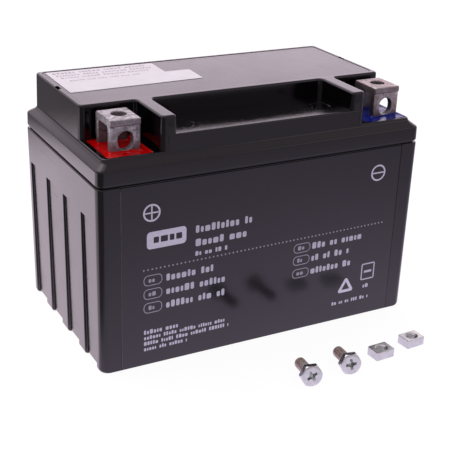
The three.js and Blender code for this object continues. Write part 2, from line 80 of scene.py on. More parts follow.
# loose hardware
THREAD_PITCH = 0.8
SCREW_FLATS, SCREW_HEAD, SCREW_LENGTH, SCREW_RADIUS = 8.5, 3.0, 12.0, 2.4
SCREW_AZIMUTH, SCREW_SPIN = math.radians(12), math.pi / 3
NUT_X, NUT_Y, NUT_HEIGHT = 9.2, 6.9, 3.9


# ------------------------------------------------------------------ outlines
def arc(cx, cy, radius, degrees):
    return [(cx + radius * math.cos(math.radians(a)), cy + radius * math.sin(math.radians(a)))
            for a in degrees]


def round_over(radius, top, degrees):
    """Stations (inset, height) up a rounded edge that ends at top."""
    return [(radius * (1 - math.cos(math.radians(a))),
             top - radius + radius * math.sin(math.radians(a))) for a in degrees]


def rounded(points, radii, inset=0.0, steps=6):
    """A counter-clockwise outline with rounded corners; a positive inset shrinks it."""
    out = []
    for i, radius in enumerate(radii):
        before, corner, after = (Vector(points[j % len(points)]) for j in (i - 1, i, i + 1))
        way_in, way_out = (corner - before).normalized(), (after - corner).normalized()
        left_in, left_out = Vector((-way_in.y, way_in.x)), Vector((-way_out.y, way_out.x))
        side = 1.0 if way_in.x * way_out.y - way_in.y * way_out.x > 0 else -1.0
        moved = corner + (left_in + left_out) * (inset / (1.0 + left_in.dot(left_out)))
        if radius == 0:
            out.append((moved.x, moved.y))
            continue
        r = max(0.03, radius - side * inset)
        turn = math.acos(max(-1.0, min(1.0, way_in.dot(way_out))))
        first = moved - way_in * (r * math.tan(turn / 2))
        centre = first + left_in * (r * side)
        start = math.atan2(first.y - centre.y, first.x - centre.x)
        for k in range(steps + 1):
            angle = start + side * turn * k / steps
            out.append((centre.x + r * math.cos(angle), centre.y + r * math.sin(angle)))
    return out


def rect(x0, x1, y0, y1, radius, steps=6):
    return rounded([(x0, y0), (x1, y0), (x1, y1), (x0, y1)], [radius] * 4, 0.0, steps)


# ------------------------------------------------------------------ solids
def new_object(name, verts, faces):
    mesh = bpy.data.meshes.new(name)
    mesh.from_pydata([(x * MM, y * MM, z * MM) for x, y, z in verts], [], faces)
    mesh.update()
    obj = bpy.data.objects.new(name, mesh)
    scene.collection.objects.link(obj)
    return obj


def side_quads(rows, n):
    """Faces between successive rings of n vertices each."""
    return [(a + i, a + (i + 1) % n, a + n + (i + 1) % n, a + n + i)
            for a in range(0, (rows - 1) * n, n) for i in range(n)]


def skin(name, verts, rows):
    """A closed solid from rings of equal size, bottom first."""
    n = len(verts) // rows
    faces = [tuple(reversed(range(n)))] + side_quads(rows, n)
    faces.append(tuple(range((rows - 1) * n, rows * n)))
    return new_object(name, verts, faces)


def loft(rings, heights, name="tool"):
    verts = [(x, y, z) for ring, z in zip(rings, heights) for x, y in ring]
    return skin(name, verts, len(rings))


def loft_rows(outline_at, rows, name="tool"):
    """A loft through stations (inset, height), with the outline given for an inset."""
    return loft([outline_at(inset) for inset, _ in rows], [z for _, z in rows], name)


def prism_z(outline, z0, z1, name="tool"):
    return loft([outline, outline], [z0, z1], name)


def prism_x(outline_yz, x0, x1, name="tool"):
    obj = prism_z(outline_yz, x0, x1, name)
    obj.data.transform(Matrix(((0, 0, 1, 0), (1, 0, 0, 0), (0, 1, 0, 0), (0, 0, 0, 1))))
    return obj


def prism_y(outline_xz, y0, y1, name="tool"):
    obj = prism_z(outline_xz, -y1, -y0, name)
    obj.data.transform(Matrix(((1, 0, 0, 0), (0, 0, -1, 0), (0, 1, 0, 0), (0, 0, 0, 1))))
    return obj


def box(x0, x1, y0, y1, z0, z1):
    return prism_z([(x0, y0), (x1, y0), (x1, y1), (x0, y1)], z0, z1)


def lathe(profile, steps=48, centre=(0, 0, 0)):
    """A closed (radius, height) profile turned about Z; radius 0 lies on the axis."""
    cx, cy, cz = centre
    verts, rows = [], []
    for r, h in profile:
        if r < 1e-9:
            rows.append([len(verts)] * steps)
            verts.append((cx, cy, cz + h))
        else:
            rows.append([len(verts) + i for i in range(steps)])
            angles = [2 * math.pi * i / steps for i in range(steps)]
            verts += [(cx + r * math.cos(a), cy + r * math.sin(a), cz + h) for a in angles]
    faces = []
    pairs = list(zip(rows, rows[1:]))
    if profile[0][0] > 1e-9 and profile[-1][0] > 1e-9:
        pairs.append((rows[-1], rows[0]))
    for low, high in pairs:
        for i in range(steps):
            j = (i + 1) % steps
            corners = tuple(dict.fromkeys((low[i], low[j], high[j], high[i])))
            if len(corners) > 2:
                faces.append(corners)
    obj = new_object("tool", verts, faces)
    outward(obj)
    return obj


def cylinder(radius, z0, z1, steps, centre=(0, 0, 0)):
    return lathe([(0, z0), (radius, z0), (radius, z1), (0, z1)], steps, centre)


# ------------------------------------------------------------------ mesh editing
@contextmanager
def editing(obj):
    bm = bmesh.new()
    bm.from_mesh(obj.data)
    yield bm
    bm.to_mesh(obj.data)
    bm.free()


def outward(obj):
    with editing(obj) as bm:
        bmesh.ops.recalc_face_normals(bm, faces=bm.faces)


def freeze(obj):
    """Applies the modifiers to the mesh."""
    depsgraph = bpy.context.evaluated_depsgraph_get()
    mesh = bpy.data.meshes.new_from_object(obj.evaluated_get(depsgraph), depsgraph=depsgraph)
    obj.modifiers.clear()
    old = obj.data
    obj.data = mesh
    bpy.data.meshes.remove(old)
    mesh.name = obj.name


def combine(operation, target, tools):
    for tool in tools:
        m = target.modifiers.new("cut", "BOOLEAN")
        m.operation, m.solver, m.object = operation, "EXACT", tool
        freeze(target)
        mesh = tool.data
        bpy.data.objects.remove(tool)
        bpy.data.meshes.remove(mesh)


def join(target, *tools):
    combine("UNION", target, tools)


def cut(target, *tools):
    combine("DIFFERENCE", target, tools)


def clean(obj, angle=0.6):
    """Joins flat neighbours again after the cuts, so that bevels run clean."""
    with editing(obj) as bm:
        bmesh.ops.remove_doubles(bm, verts=bm.verts, dist=0.002 * MM)
        bmesh.ops.dissolve_limit(bm, angle_limit=math.radians(angle), verts=bm.verts,
                                 edges=bm.edges)


def bevel(obj, width, segments=3, angle=40, where=None):
    """Rounds the sharp edges: all of them, or those whose middle in mm satisfies where."""
    m = obj.modifiers.new("edges", "BEVEL")
    m.width, m.segments, m.use_clamp_overlap = width * MM, segments, False
    m.miter_outer = "MITER_ARC"
    weight = "bevel_weight_edge"
    if where is None:
        m.limit_method, m.angle_limit = "ANGLE", math.radians(angle)
    else:
        with editing(obj) as bm:
            layers = bm.edges.layers.float
            layer = layers.get(weight) or layers.new(weight)
            for e in bm.edges:
                middle = (e.verts[0].co + e.verts[1].co) / (2 * MM)
                sharp = len(e.link_faces) == 2 and e.calc_face_angle(0.0) > math.radians(angle)
                e[layer] = 1.0 if sharp and where(middle) else 0.0
        m.limit_method = "WEIGHT"
    freeze(obj)
    if where is not None and weight in obj.data.attributes:
        obj.data.attributes.remove(obj.data.attributes[weight])


def smooth(obj, angle):
    """Smooth shading whose normals follow the big faces, so that flat faces mirror flat."""
    obj.data.shade_smooth()
    obj.data.set_sharp_from_angle(angle=math.radians(angle))
    m = obj.modifiers.new("normals", "WEIGHTED_NORMAL")
    m.mode, m.keep_sharp, m.weight = "FACE_AREA", True, 80
    freeze(obj)


def finish_piece(obj, body, material, slot, *nodes):
    obj.data.materials.clear()
    obj.data.materials.append(material)
    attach(obj, body)
    if nodes:
        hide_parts(*nodes)


# ------------------------------------------------------------------ node helpers
class Nodes:
    """Builds the node tree of a material or a world."""

    def __init__(self, owner, output):
        owner.use_nodes = True
        self.tree = owner.node_tree
        self.tree.nodes.clear()
        self.output = self.add(output)

    def put(self, socket, value):
        if isinstance(value, bpy.types.NodeSocket):
            self.tree.links.new(value, socket)
            return
        if isinstance(value, tuple) and len(value) < len(socket.default_value):
            value = (*value, 1)
        socket.default_value = value

    def fill(self, node, *values, **named):
        for socket, value in zip(node.inputs, values):
            self.put(socket, value)
        for key, value in named.items():
            self.put(node.inputs[key.replace("_", " ")], value)
        return node

    def add(self, kind, *values, **named):
        return self.fill(self.tree.nodes.new("ShaderNode" + kind), *values, **named)

    def surface(self, shader):
        self.put(self.output.inputs["Surface"], shader.outputs[0])

    def xyz(self, vector):
        return self.add("SeparateXYZ", vector).outputs

    def calc(self, operation, a, b=0, *rest):
        node = self.add("Math")
        node.operation = operation
        return self.fill(node, a, b, *rest).outputs[0]

    def plus(self, a, b):
        return self.calc("ADD", a, b)

    def times(self, a, b):
        return self.calc("MULTIPLY", a, b)

    def remap(self, value, span, to=(0, 1)):
        return self.add("MapRange", Value=value, From_Min=span[0], From_Max=span[1],
                        To_Min=to[0], To_Max=to[1]).outputs[0]

    def step(self, value, span, to=(0, 1)):
        socket = self.remap(value, span, to)
        socket.node.interpolation_type = "SMOOTHSTEP"
        return socket

    def mix(self, factor, a, b):
        node = self.add("Mix")
        node.data_type = "RGBA"
        for index, value in ((0, factor), (6, a), (7, b)):
            self.put(node.inputs[index], value)
        return node.outputs[2]

    def scaled(self, colour, level):
        node = self.add("VectorMath")
        node.operation = "SCALE"
        return self.fill(node, colour, Scale=level).outputs[0]

    def by_ray(self, seen, lit):
        """One colour for the camera, another for reflections and lighting."""
        return self.mix(self.add("LightPath").outputs["Is Camera Ray"], lit, seen)


class Surface(Nodes):
    """A principled material, with patterns laid out in object space."""

    def __init__(self, name):
        self.material = bpy.data.materials.new(name)
        super().__init__(self.material, "OutputMaterial")
        self.bsdf = self.add("BsdfPrincipled")
        self.surface(self.bsdf)
        self.place = self.add("TexCoord").outputs["Object"]

    def calc(self, operation, a, b=0):
        return super().calc(operation, a, b, 0)

    def stretch(self, scale, turn=(0, 0, 0)):
        return self.add("Mapping", Scale=scale, Rotation=turn, Vector=self.place).outputs[0]

    def noise(self, scale, detail=3, rough=0.5, warp=0, source=None):
        return self.add("TexNoise", Scale=scale, Detail=detail, Roughness=rough, Distortion=warp,
                        Vector=source or self.place).outputs[0]

    def cells(self, scale, feature="F1"):
        node = self.add("TexVoronoi")
        node.feature = feature
        return self.fill(node, Scale=scale, Vector=self.place).outputs["Distance"]

    def blend(self, pattern, span, a, b):
        """From colour a to colour b as the pattern crosses the span."""
        return self.mix(self.remap(pattern, span), a, b)

    def bump(self, height, strength, depth, over=None):
        node = self.add("Bump", Strength=strength, Distance=depth, Height=height)
        if over is not None:
            self.put(node.inputs["Normal"], over)
        return node.outputs[0]

    def scratches(self, scale, turn, threshold):
        """Fine hairlines: noise stretched along one direction, kept where it peaks."""
        lines = self.noise(scale, detail=2, rough=0.6, source=self.stretch((1, 0.03, 1), turn))
        return self.remap(lines, (threshold, threshold + 0.05))

    def finish(self, **values):
        self.fill(self.bsdf, **values)
        return self.material


# ------------------------------------------------------------------ materials
def plastic(name, base, dark, rough, grain=1.0, wave=1.0):
    """Moulded polypropylene: faint mottling, fine grain, slow mould waviness and hairlines."""
    t = Surface(name)
    colour = t.blend(t.noise(38, detail=4, rough=0.6), (0.35, 0.68), base, dark)
    flow = t.noise(14, detail=2, warp=0.6, source=t.stretch((1, 1, 0.25)))
    hair = t.calc("MAXIMUM", t.scratches(900, turn=(0.2, 0.1, 0.9), threshold=0.66),
                  t.scratches(700, turn=(1.1, 0.3, -0.5), threshold=0.67))
    smudge = t.remap(t.noise(55, rough=0.6, warp=0.4), (0.45, 0.75), to=(0, 0.05))
    gloss = t.remap(flow, (0.3, 0.7), to=(rough - 0.025, rough + 0.035))
    gloss = t.plus(t.plus(gloss, smudge), t.times(hair, 0.08))
    waves = t.bump(t.noise(26, detail=1, rough=0.4), strength=0.25 * wave, depth=0.0006)
    fine = t.bump(t.noise(2600, detail=2, rough=0.6), strength=0.22 * grain, depth=0.00006,
                  over=waves)
    normal = t.bump(t.noise(700, detail=2), strength=0.12 * grain, depth=0.0001, over=fine)
    return t.finish(Base_Color=colour, Roughness=gloss, Normal=normal, IOR=1.49,
                    Coat_Roughness=0.12)


def film_material():
    """Printed film: dark violet grey ink and dust under a glossy skin with orange peel."""
    t = Surface("film_dark")
    colour = t.blend(t.noise(20), (0.3, 0.7), (0.0064, 0.0050, 0.0078), (0.0088, 0.0070, 0.0108))
    dust = t.remap(t.noise(1500, detail=2, rough=0.7), (0.73, 0.78))
    colour = t.mix(t.times(dust, 0.15), colour, (0.25, 0.23, 0.26))
    gloss = t.remap(t.noise(60, detail=2), (0.3, 0.7), to=(0.12, 0.17))
    hair = t.scratches(800, turn=(0.4, 0.2, 0.7), threshold=0.68)
    peel = t.bump(t.noise(420, detail=1.5), strength=0.10, depth=0.00012)
    normal = t.bump(t.noise(18, detail=1), strength=0.18, depth=0.0007, over=peel)
    return t.finish(Base_Color=colour, Roughness=t.plus(gloss, t.times(hair, 0.1)),
                    Normal=normal, IOR=1.5)


def ink(name, colour, worn, rough=0.35):
    """Pale printing ink, a little uneven."""
    t = Surface(name)
    return t.finish(
        Base_Color=t.blend(t.noise(900, rough=0.6), (0.35, 0.7), colour, worn),
        Roughness=t.remap(t.noise(300, detail=2), (0.3, 0.7), to=(rough - 0.05, rough + 0.08)),
        Normal=t.bump(t.noise(3000, detail=2, rough=0.6), strength=0.15, depth=0.00003))


def paper_material():
    """Coated label paper: soft fibres, faint mottling and a matt skin."""
    t = Surface("paper_label")
    fibre = t.noise(1700, detail=4, rough=0.65, warp=1.2, source=t.stretch((1, 0.35, 1)))
    colour = t.blend(t.noise(130, rough=0.55), (0.3, 0.7), (0.70, 0.735, 0.715),
                     (0.755, 0.79, 0.77))
    colour = t.mix(t.remap(fibre, (0.55, 0.8), to=(0, 0.25)), colour, (0.61, 0.63, 0.62))
    swell = t.bump(t.noise(45, detail=1), strength=0.15, depth=0.0006)
    return t.finish(Base_Color=colour, Roughness=t.remap(fibre, (0.3, 0.7), to=(0.5, 0.66)),
                    Normal=t.bump(fibre, strength=0.25, depth=0.00005, over=swell),
                    Specular_IOR_Level=0.4)


def lead_material(name, warmth, shade):
    """Cast lead alloy: oxide blotches, rubbed patches, casting grain, file marks, and painted
    shade in the hollows and on the lip's front.
    """
    t = Surface(name)

    def shaded(*colour):
        return tuple(c * shade for c in colour)

    blotch = t.noise(330, detail=5, rough=0.66, warp=0.8)
    fine = t.noise(1500, detail=4, rough=0.65)
    colour = t.blend(blotch, (0.40, 0.60), shaded(0.22, 0.21, 0.215), shaded(0.60, 0.60, 0.60))
    colour = t.mix(t.remap(fine, (0.5, 0.72), to=(0, 0.8)), colour, shaded(0.76, 0.77, 0.76))
    pits = t.remap(t.cells(900), (0.05, 0.24), to=(1, 0))
    colour = t.mix(t.times(pits, 0.6), colour, (0.09, 0.075, 0.085))
    warm = t.remap(t.noise(170, detail=2), (0.58 - 0.25 * warmth, 0.72 - 0.2 * warmth),
                   to=(0, 0.3 + 0.3 * warmth))
    colour = t.mix(warm, colour, (0.27, 0.195, 0.16))
    # painted shade: the colour darkens where the occlusion finds hollows, in the window and under
    # the lip
    crevice = t.add("AmbientOcclusion", Distance=0.012)
    crevice.samples = 6
    painted_shade = t.remap(crevice.outputs["AO"], (0.30, 0.78), to=(0.95, 0))
    colour = t.mix(painted_shade, colour, (0.045, 0.034, 0.036))
    place = t.xyz(t.place)
    # painted shade: the upper part of the lip's front face is darkened
    lip = t.times(t.remap(place["Y"], (-0.03336, -0.03320), to=(0.66, 0)),
                  t.remap(place["Z"], (0.1002, 0.1012)))
    colour = t.mix(lip, colour, (0.17, 0.145, 0.15))
    marks = t.noise(900, detail=2, rough=0.6, source=t.stretch((0.12, 1, 1), (0, 0, 0.3)))
    rough = t.plus(t.remap(blotch, (0.35, 0.65), to=(0.50, 0.36)), t.times(pits, 0.2))
    normal = t.bump(t.noise(210, detail=2), strength=0.4, depth=0.0006)
    normal = t.bump(marks, strength=0.25, depth=0.00012, over=normal)
    normal = t.bump(fine, strength=0.6, depth=0.00022, over=normal)
    normal = t.bump(pits, strength=-0.5, depth=0.0002, over=normal)
    return t.finish(Base_Color=colour, Metallic=t.remap(blotch, (0.4, 0.62), to=(0.55, 0.92)),
                    Roughness=rough, Normal=normal)


def resin_material(name, deep, clear, speck):
    """Poured sealing resin: dyed, glossy, with slow waves, specks and tiny bubbles."""
    t = Surface(name)
    colour = t.blend(t.noise(95, warp=1), (0.3, 0.7), deep, clear)
    specks = t.remap(t.noise(1900, detail=2, rough=0.6), (0.70, 0.75), to=(0, 0.5))
    colour = t.mix(specks, colour, speck)
    bubbles = t.times(t.remap(t.cells(520), (0.04, 0.10), to=(1, 0)),
                      t.remap(t.noise(200, detail=1), (0.56, 0.6)))
    waves = t.bump(t.noise(240, detail=2, warp=0.5), strength=0.30, depth=0.0006)
    return t.finish(Base_Color=colour,
                    Roughness=t.remap(t.noise(400, detail=2), (0.3, 0.7), to=(0.10, 0.2)),
                    Normal=t.bump(bubbles, strength=0.5, depth=0.0002, over=waves),
                    IOR=1.45, Specular_IOR_Level=0.35, Subsurface_Weight=0.08,
                    Subsurface_Radius=(0.6, 0.3, 0.5), Subsurface_Scale=0.002)


def nickel_material(name, brown_threads=False, matt=0.0):
    """Plated steel: turning marks, haze and dark nicks; the screws' threads are coloured darker
    brown along the shank.
    """
    t = Surface(name)
    haze = t.noise(500, rough=0.6)
    colour = t.blend(haze, (0.35, 0.7), (0.52, 0.55, 0.52), (0.66, 0.70, 0.66))
    nick = t.remap(t.noise(2300, rough=0.7), (0.68, 0.74))
    colour = t.mix(t.times(nick, 0.5), colour, (0.18, 0.16, 0.17))
    if brown_threads:
        brown = t.times(t.remap(t.xyz(t.place)["Y"], (-0.0835, -0.0775), to=(0, 0.75)),
                        t.remap(t.noise(350, detail=2), (0.3, 0.6), to=(0.5, 1)))
        colour = t.mix(brown, colour, (0.215, 0.13, 0.085))
    lines = t.noise(2600, detail=2, rough=0.6, source=t.stretch((1, 0.06, 1), (0, 0, 0.4)))
    rough = t.plus(t.remap(haze, (0.3, 0.7), to=(0.2 + matt, 0.34 + matt)), t.times(nick, 0.2))
    swell = t.bump(t.noise(420, detail=2), strength=0.12, depth=0.0002)
    return t.finish(Base_Color=colour, Metallic=1, Roughness=rough,
                    Normal=t.bump(lines, strength=0.16, depth=0.00005, over=swell))


def rubber_material():
    """Black rubber with a pale bloom."""
    t = Surface("seal_rubber")
    colour = t.blend(t.noise(160, detail=4, rough=0.6), (0.35, 0.7), (0.016, 0.016, 0.018),
                     (0.034, 0.033, 0.036))
    bloom = t.remap(t.noise(60, rough=0.6, warp=0.5), (0.5, 0.75), to=(0, 0.25))
    return t.finish(Base_Color=t.mix(bloom, colour, (0.09, 0.09, 0.095)),
                    Roughness=t.remap(t.noise(500), (0.3, 0.7), to=(0.55, 0.75)),
                    Normal=t.bump(t.noise(2400, rough=0.6), strength=0.3, depth=0.00008))


def paste_material(name, light, dark):
    """Battery paste pressed into a lead grid: crumbly, the grid's bars showing faintly."""
    t = Surface(name)
    crumb = t.noise(1400, detail=5, rough=0.7)
    colour = t.blend(crumb, (0.35, 0.68), light, dark)
    grid = t.add("TexBrick", Scale=60, Mortar_Size=0.035, Color1=(0, 0, 0), Color2=(0, 0, 0),
                 Mortar=(1, 1, 1), Vector=t.stretch((1, 1, 1), (0, math.pi / 2, 0)))
    colour = t.mix(t.times(grid.outputs["Color"], 0.45), colour, (0.28, 0.27, 0.29))
    lumps = t.bump(t.cells(700), strength=0.3, depth=0.0002)
    return t.finish(Base_Color=colour, Roughness=t.remap(crumb, (0.3, 0.7), to=(0.65, 0.9)),
                    Metallic=0.1, Normal=t.bump(crumb, strength=0.6, depth=0.0002, over=lumps))


def mat_material():
    """Glass-fibre mat: white, felted, with crossing fibres."""
    t = Surface("glass_fibre_mat")
    layers = [t.noise(2600, rough=0.7, warp=1.5, source=t.stretch(scale, turn))
              for scale, turn in (((1, 0.08, 1), (0.3, 0, 0)), ((1, 1, 0.08), (-0.4, 0, 0)))]
    fibre = t.times(t.plus(*layers), 0.5)
    colour = t.blend(fibre, (0.35, 0.65), (0.62, 0.63, 0.6), (0.88, 0.88, 0.85))
    return t.finish(Base_Color=colour, Roughness=0.92, Sheen_Weight=0.3,
                    Normal=t.bump(fibre, strength=0.8, depth=0.0003))


def gel_material():
    """Silica gel: cloudy, cracked here and there as it has set."""
    t = Surface("silica_gel")
    cloud = t.noise(120, detail=4, rough=0.6, warp=0.7)
    crack = t.remap(t.cells(160, "DISTANCE_TO_EDGE"), (0, 0.03), to=(1, 0))
    colour = t.blend(cloud, (0.3, 0.7), (0.60, 0.64, 0.65), (0.80, 0.83, 0.83))
    swell = t.bump(t.noise(300, detail=2), strength=0.2, depth=0.0004)
    return t.finish(Base_Color=t.mix(t.times(crack, 0.5), colour, (0.42, 0.46, 0.48)),
                    Roughness=t.remap(cloud, (0.3, 0.7), to=(0.15, 0.3)),
                    Subsurface_Weight=0.2, Subsurface_Scale=0.004, Transmission_Weight=0.15,
                    IOR=1.34, Normal=t.bump(crack, strength=-0.4, depth=0.0003, over=swell))


CASE_BLACK = plastic("moulded_black", base=(0.0022, 0.0019, 0.0024),
                     dark=(0.0034, 0.0029, 0.0037), rough=0.16)
LID_BLACK = plastic("moulded_black_lid", base=(0.0016, 0.0014, 0.0018),
                    dark=(0.0027, 0.0023, 0.0029), rough=0.085)
COVER_BLACK = plastic("moulded_black_cover", base=(0.0024, 0.0021, 0.0026),
                      dark=(0.0038, 0.0032, 0.0041), rough=0.19, grain=1.2, wave=0.8)
FILM = film_material()
PRINT_BRIGHT = ink("print_bright", (0.62, 0.66, 0.72), worn=(0.54, 0.57, 0.63))
PRINT_TEXT = ink("print_text", (0.50, 0.53, 0.58), worn=(0.42, 0.45, 0.49))
PRINT_FAINT = ink("print_faint", (0.33, 0.35, 0.385), worn=(0.27, 0.285, 0.315))
# painted highlight: pale ink for strips along the film's edge at -X
FILM_EDGE_HIGHLIGHT = ink("film_edge_painted_highlight", (0.085, 0.078, 0.092), worn=(0.035, 0.031, 0.037), rough=0.4)
PRINT_GREY = ink("print_grey", (0.40, 0.36, 0.40), worn=(0.52, 0.47, 0.51), rough=0.6)
PAPER = paper_material()
LEAD = {-1: lead_material("cast_lead", warmth=0.0, shade=0.78),
        1: lead_material("cast_lead_worn", warmth=1.0, shade=0.92)}
RESIN = {-1: resin_material("resin_red", deep=(0.50, 0.0, 0.0), clear=(0.66, 0.0, 0.0),
                            speck=(0.72, 0.02, 0.02)),
         1: resin_material("resin_blue", deep=(0.003, 0.009, 0.17), clear=(0.008, 0.026, 0.28),
                           speck=(0.05, 0.08, 0.4))}
NICKEL = nickel_material("plated_steel_nut", matt=0.16)
NICKEL_SCREW = nickel_material("plated_steel_screw", brown_threads=True)
RUBBER = rubber_material()


# ------------------------------------------------------------------ case
FOOT_HEIGHTS = [0.0, 0.03, 0.09, 0.18, 0.28] + [
    FOOT_RADIUS * (1 - math.cos(math.radians(a))) for a in (40, 48, 56, 64, 72, 80, 90)]
# (height, inset) above the foot, ending in a small rounded rim
CASE_STATIONS = [(40, 0.0), (79.7, 0.0), (79.92, 0.05), (80.08, 0.16), (80.17, 0.28),
                 (CASE_TOP, 0.42)]


def foot_inset(z, radius):
    """How far an edge rounded with this radius has drawn in at a height above the floor."""
    return radius - math.sqrt(max(0.0, radius ** 2 - (radius - z) ** 2)) if z < radius else 0.0


def case_ring(z, inset):
    # the foot is well rounded along the short ends, and nearly sharp along the long sides
    low = 1 - z / CASE_TOP
    x = HALF_LENGTH - 0.4 * low - inset - foot_inset(z, FOOT_RADIUS)
    y = HALF_WIDTH - 0.2 * low - inset - foot_inset(z, 0.35)
    return rect(-x, x, -y, y, 3.3, 9)


def channel_face(z):
    return (HALF_LENGTH - CHANNEL_DEPTH - CHANNEL_DRAFT * (1 - z / CHANNEL_TOP)
            - foot_inset(z, FOOT_RADIUS))


def cut_channels(shell):
    """Upright channels in both ends: sloped roof, floor following the rounded foot."""
    out = HALF_LENGTH + 2
    right = [(channel_face(0), -2), (out, -2), (out, CHANNEL_TOP + 0.8)]
    right += [(channel_face(z), z) for z in [CHANNEL_TOP] + FOOT_HEIGHTS[::-1]]
    left = [(-x, z) for x, z in reversed(right)]
    for profile in (left, right):
        for i in range(4):
            y = (i - 1.5) * CHANNEL_PITCH
            cut(shell, prism_y(profile, y - CHANNEL_HALF, y + CHANNEL_HALF))


def build_case():
    stations = [(z, 0.0) for z in FOOT_HEIGHTS] + CASE_STATIONS
    shell = loft([case_ring(z, inset) for z, inset in stations], [z for z, _ in stations],
                 "case_shell")
    for x in CELL_X:
        half = CELL_WIDTH / 2
        cut(shell, box(x - half, x + half, -INNER_Y, INNER_Y, CELL_FLOOR, 90))
    cut_channels(shell)
    # shallow panel for the film
    cut(shell, box(-FILM_HALF - 0.06, FILM_HALF + 0.16, -50, -HALF_WIDTH + 0.45, -1, 90))
    # a round hole through each cell wall, in turn near the back and near the front
    for i, x in enumerate(WALL_X):
        y = 25.3 if i % 2 == 0 else -25.3
        hole = cylinder(3.5, -2, 2, 24)
        hole.data.transform(Matrix.Translation((x * MM, y * MM, 75 * MM))
                            @ Matrix.Rotation(math.pi / 2, 4, "Y"))
        cut(shell, hole)
    clean(shell)
    bevel(shell, 0.32, where=lambda p: 0.01 < p.z < 76 and (
        abs(p.x) > 71.0 or (abs(p.x) > 69.3 and p.z < 0.6)))
    bevel(shell, 0.14, segments=2, where=lambda p: (
        abs(abs(p.x) - FILM_HALF - 0.11) < 0.08 and p.y < -43.2 and 0.5 < p.z < 79))
    smooth(shell, 40)
    finish_piece(shell, "battery", CASE_BLACK, "case_plastic", "case")


build_case()


# ------------------------------------------------------------------ printed marks
def sheet(name, shapes, y, thickness):
    """Flat closed tiles with outlines in X and Z, standing at constant Y and facing -Y."""
    verts, faces = [], []
    for shape in shapes:
        n, base = len(shape), len(verts)
        verts += [(x, y, z) for x, z in shape] + [(x, y - thickness, z) for x, z in shape]
        faces.append(tuple(base + i for i in reversed(range(n))))
        faces.append(tuple(base + n + i for i in range(n)))
        faces += [tuple(base + v for v in quad) for quad in side_quads(2, n)]
    return new_object(name, verts, faces)


def tile(x0, x1, z0, z1, radius=0.12, steps=3):
    return rect(x0, x1, z0, z1, min(radius, (x1 - x0) / 2.01, (z1 - z0) / 2.01), steps)


def blocks(rng, x0, x1, z, height, words, letter=0.62, gap=0.2):
    """A line of word-like groups of plain blocks, in place of lettering."""
    shapes, x, left = [], x0, 0
    while x < x1 - 0.2 * height:
        if left == 0:
            left = rng.choice(words)
            if shapes:
                x += 0.65 * height
        width = height * letter * rng.choice((0.75, 0.9, 1.0, 1.1, 1.35))
        width = min(width, x1 - x)
        if width < 0.15 * height:
            break
        tall = height * rng.choice((0.78, 0.78, 0.8, 1.0, 1.0))
        shapes.append(tile(x, x + width, z, z + tall, 0.18 * height))
        x += width + gap * height
        left -= 1
    return shapes


def hoop(cx, cz, inner, outer):
    """A flat ring as two halves."""
    halves = [[start + 7.5 * i for i in range(25)] for start in (0, 180)]
    return [arc(cx, cz, outer, half) + arc(cx, cz, inner, half[::-1]) for half in halves]


def frame_shape(x0, x1, z0, z1, width, radius):
    """A hollow rounded badge as two halves."""
    outer = rect(x0, x1, z0, z1, radius, 8)
    inner = rect(x0 + width, x1 - width, z0 + width, z1 - width, max(0.1, radius - width), 8)
    h = len(outer) // 2
    return [outer[:h + 1] + inner[:h + 1][::-1],
            outer[h:] + outer[:1] + inner[:1] + inner[h:][::-1]]


def hollow_triangle(corners, width):
    """A rounded triangle as three pieces, one from each corner to the next."""
    outer, inner = (rounded(corners, [0.9] * 3, inset, 5) for inset in (0.0, width))
    spans = [range(6 * k, 6 * k + 7) for k in range(3)]
    return [[outer[j % 18] for j in span] + [inner[j % 18] for j in reversed(span)]
            for span in spans]


# ------------------------------------------------------------------ front film and its print
# x0, x1, z, height, letter width, word lengths
HEADINGS = (
    (-33.4, -7.0, 55.6, 3.3, 0.52, (3, 9)), (-33.4, -10.0, 49.7, 3.2, 0.56, (5, 4)),
    (-33.4, -18.5, 45.5, 2.0, 0.5, (2, 3, 2)),
)
# badge: x0, x1, extent below and above the row | blocks in it: x0, x1 |
# line: x0, drop below the row, height, word lengths | rows: z, line's x1
COLUMNS = (
    ((-56.2, -48.0, 1.3, 3.4), (-54.0, -50.2), (-46.2, 0.6, 3.1, (3, 7, 6)),
     ((37.6, -25.0), (31.5, -17.0), (25.3, -18.5))),
    ((13.6, 22.0, 1.2, 3.2), (15.8, 19.8), (23.0, 0.5, 3.0, (7, 2, 3)),
     ((38.0, 49.5), (32.2, 43.5), (26.0, 44.0))),
)
# z, x1, height
SMALL_LINES = ((14.4, -40.0, 2.0), (11.9, -18.5, 1.75), (9.3, -17.0, 1.75), (6.7, -36.5, 1.75))


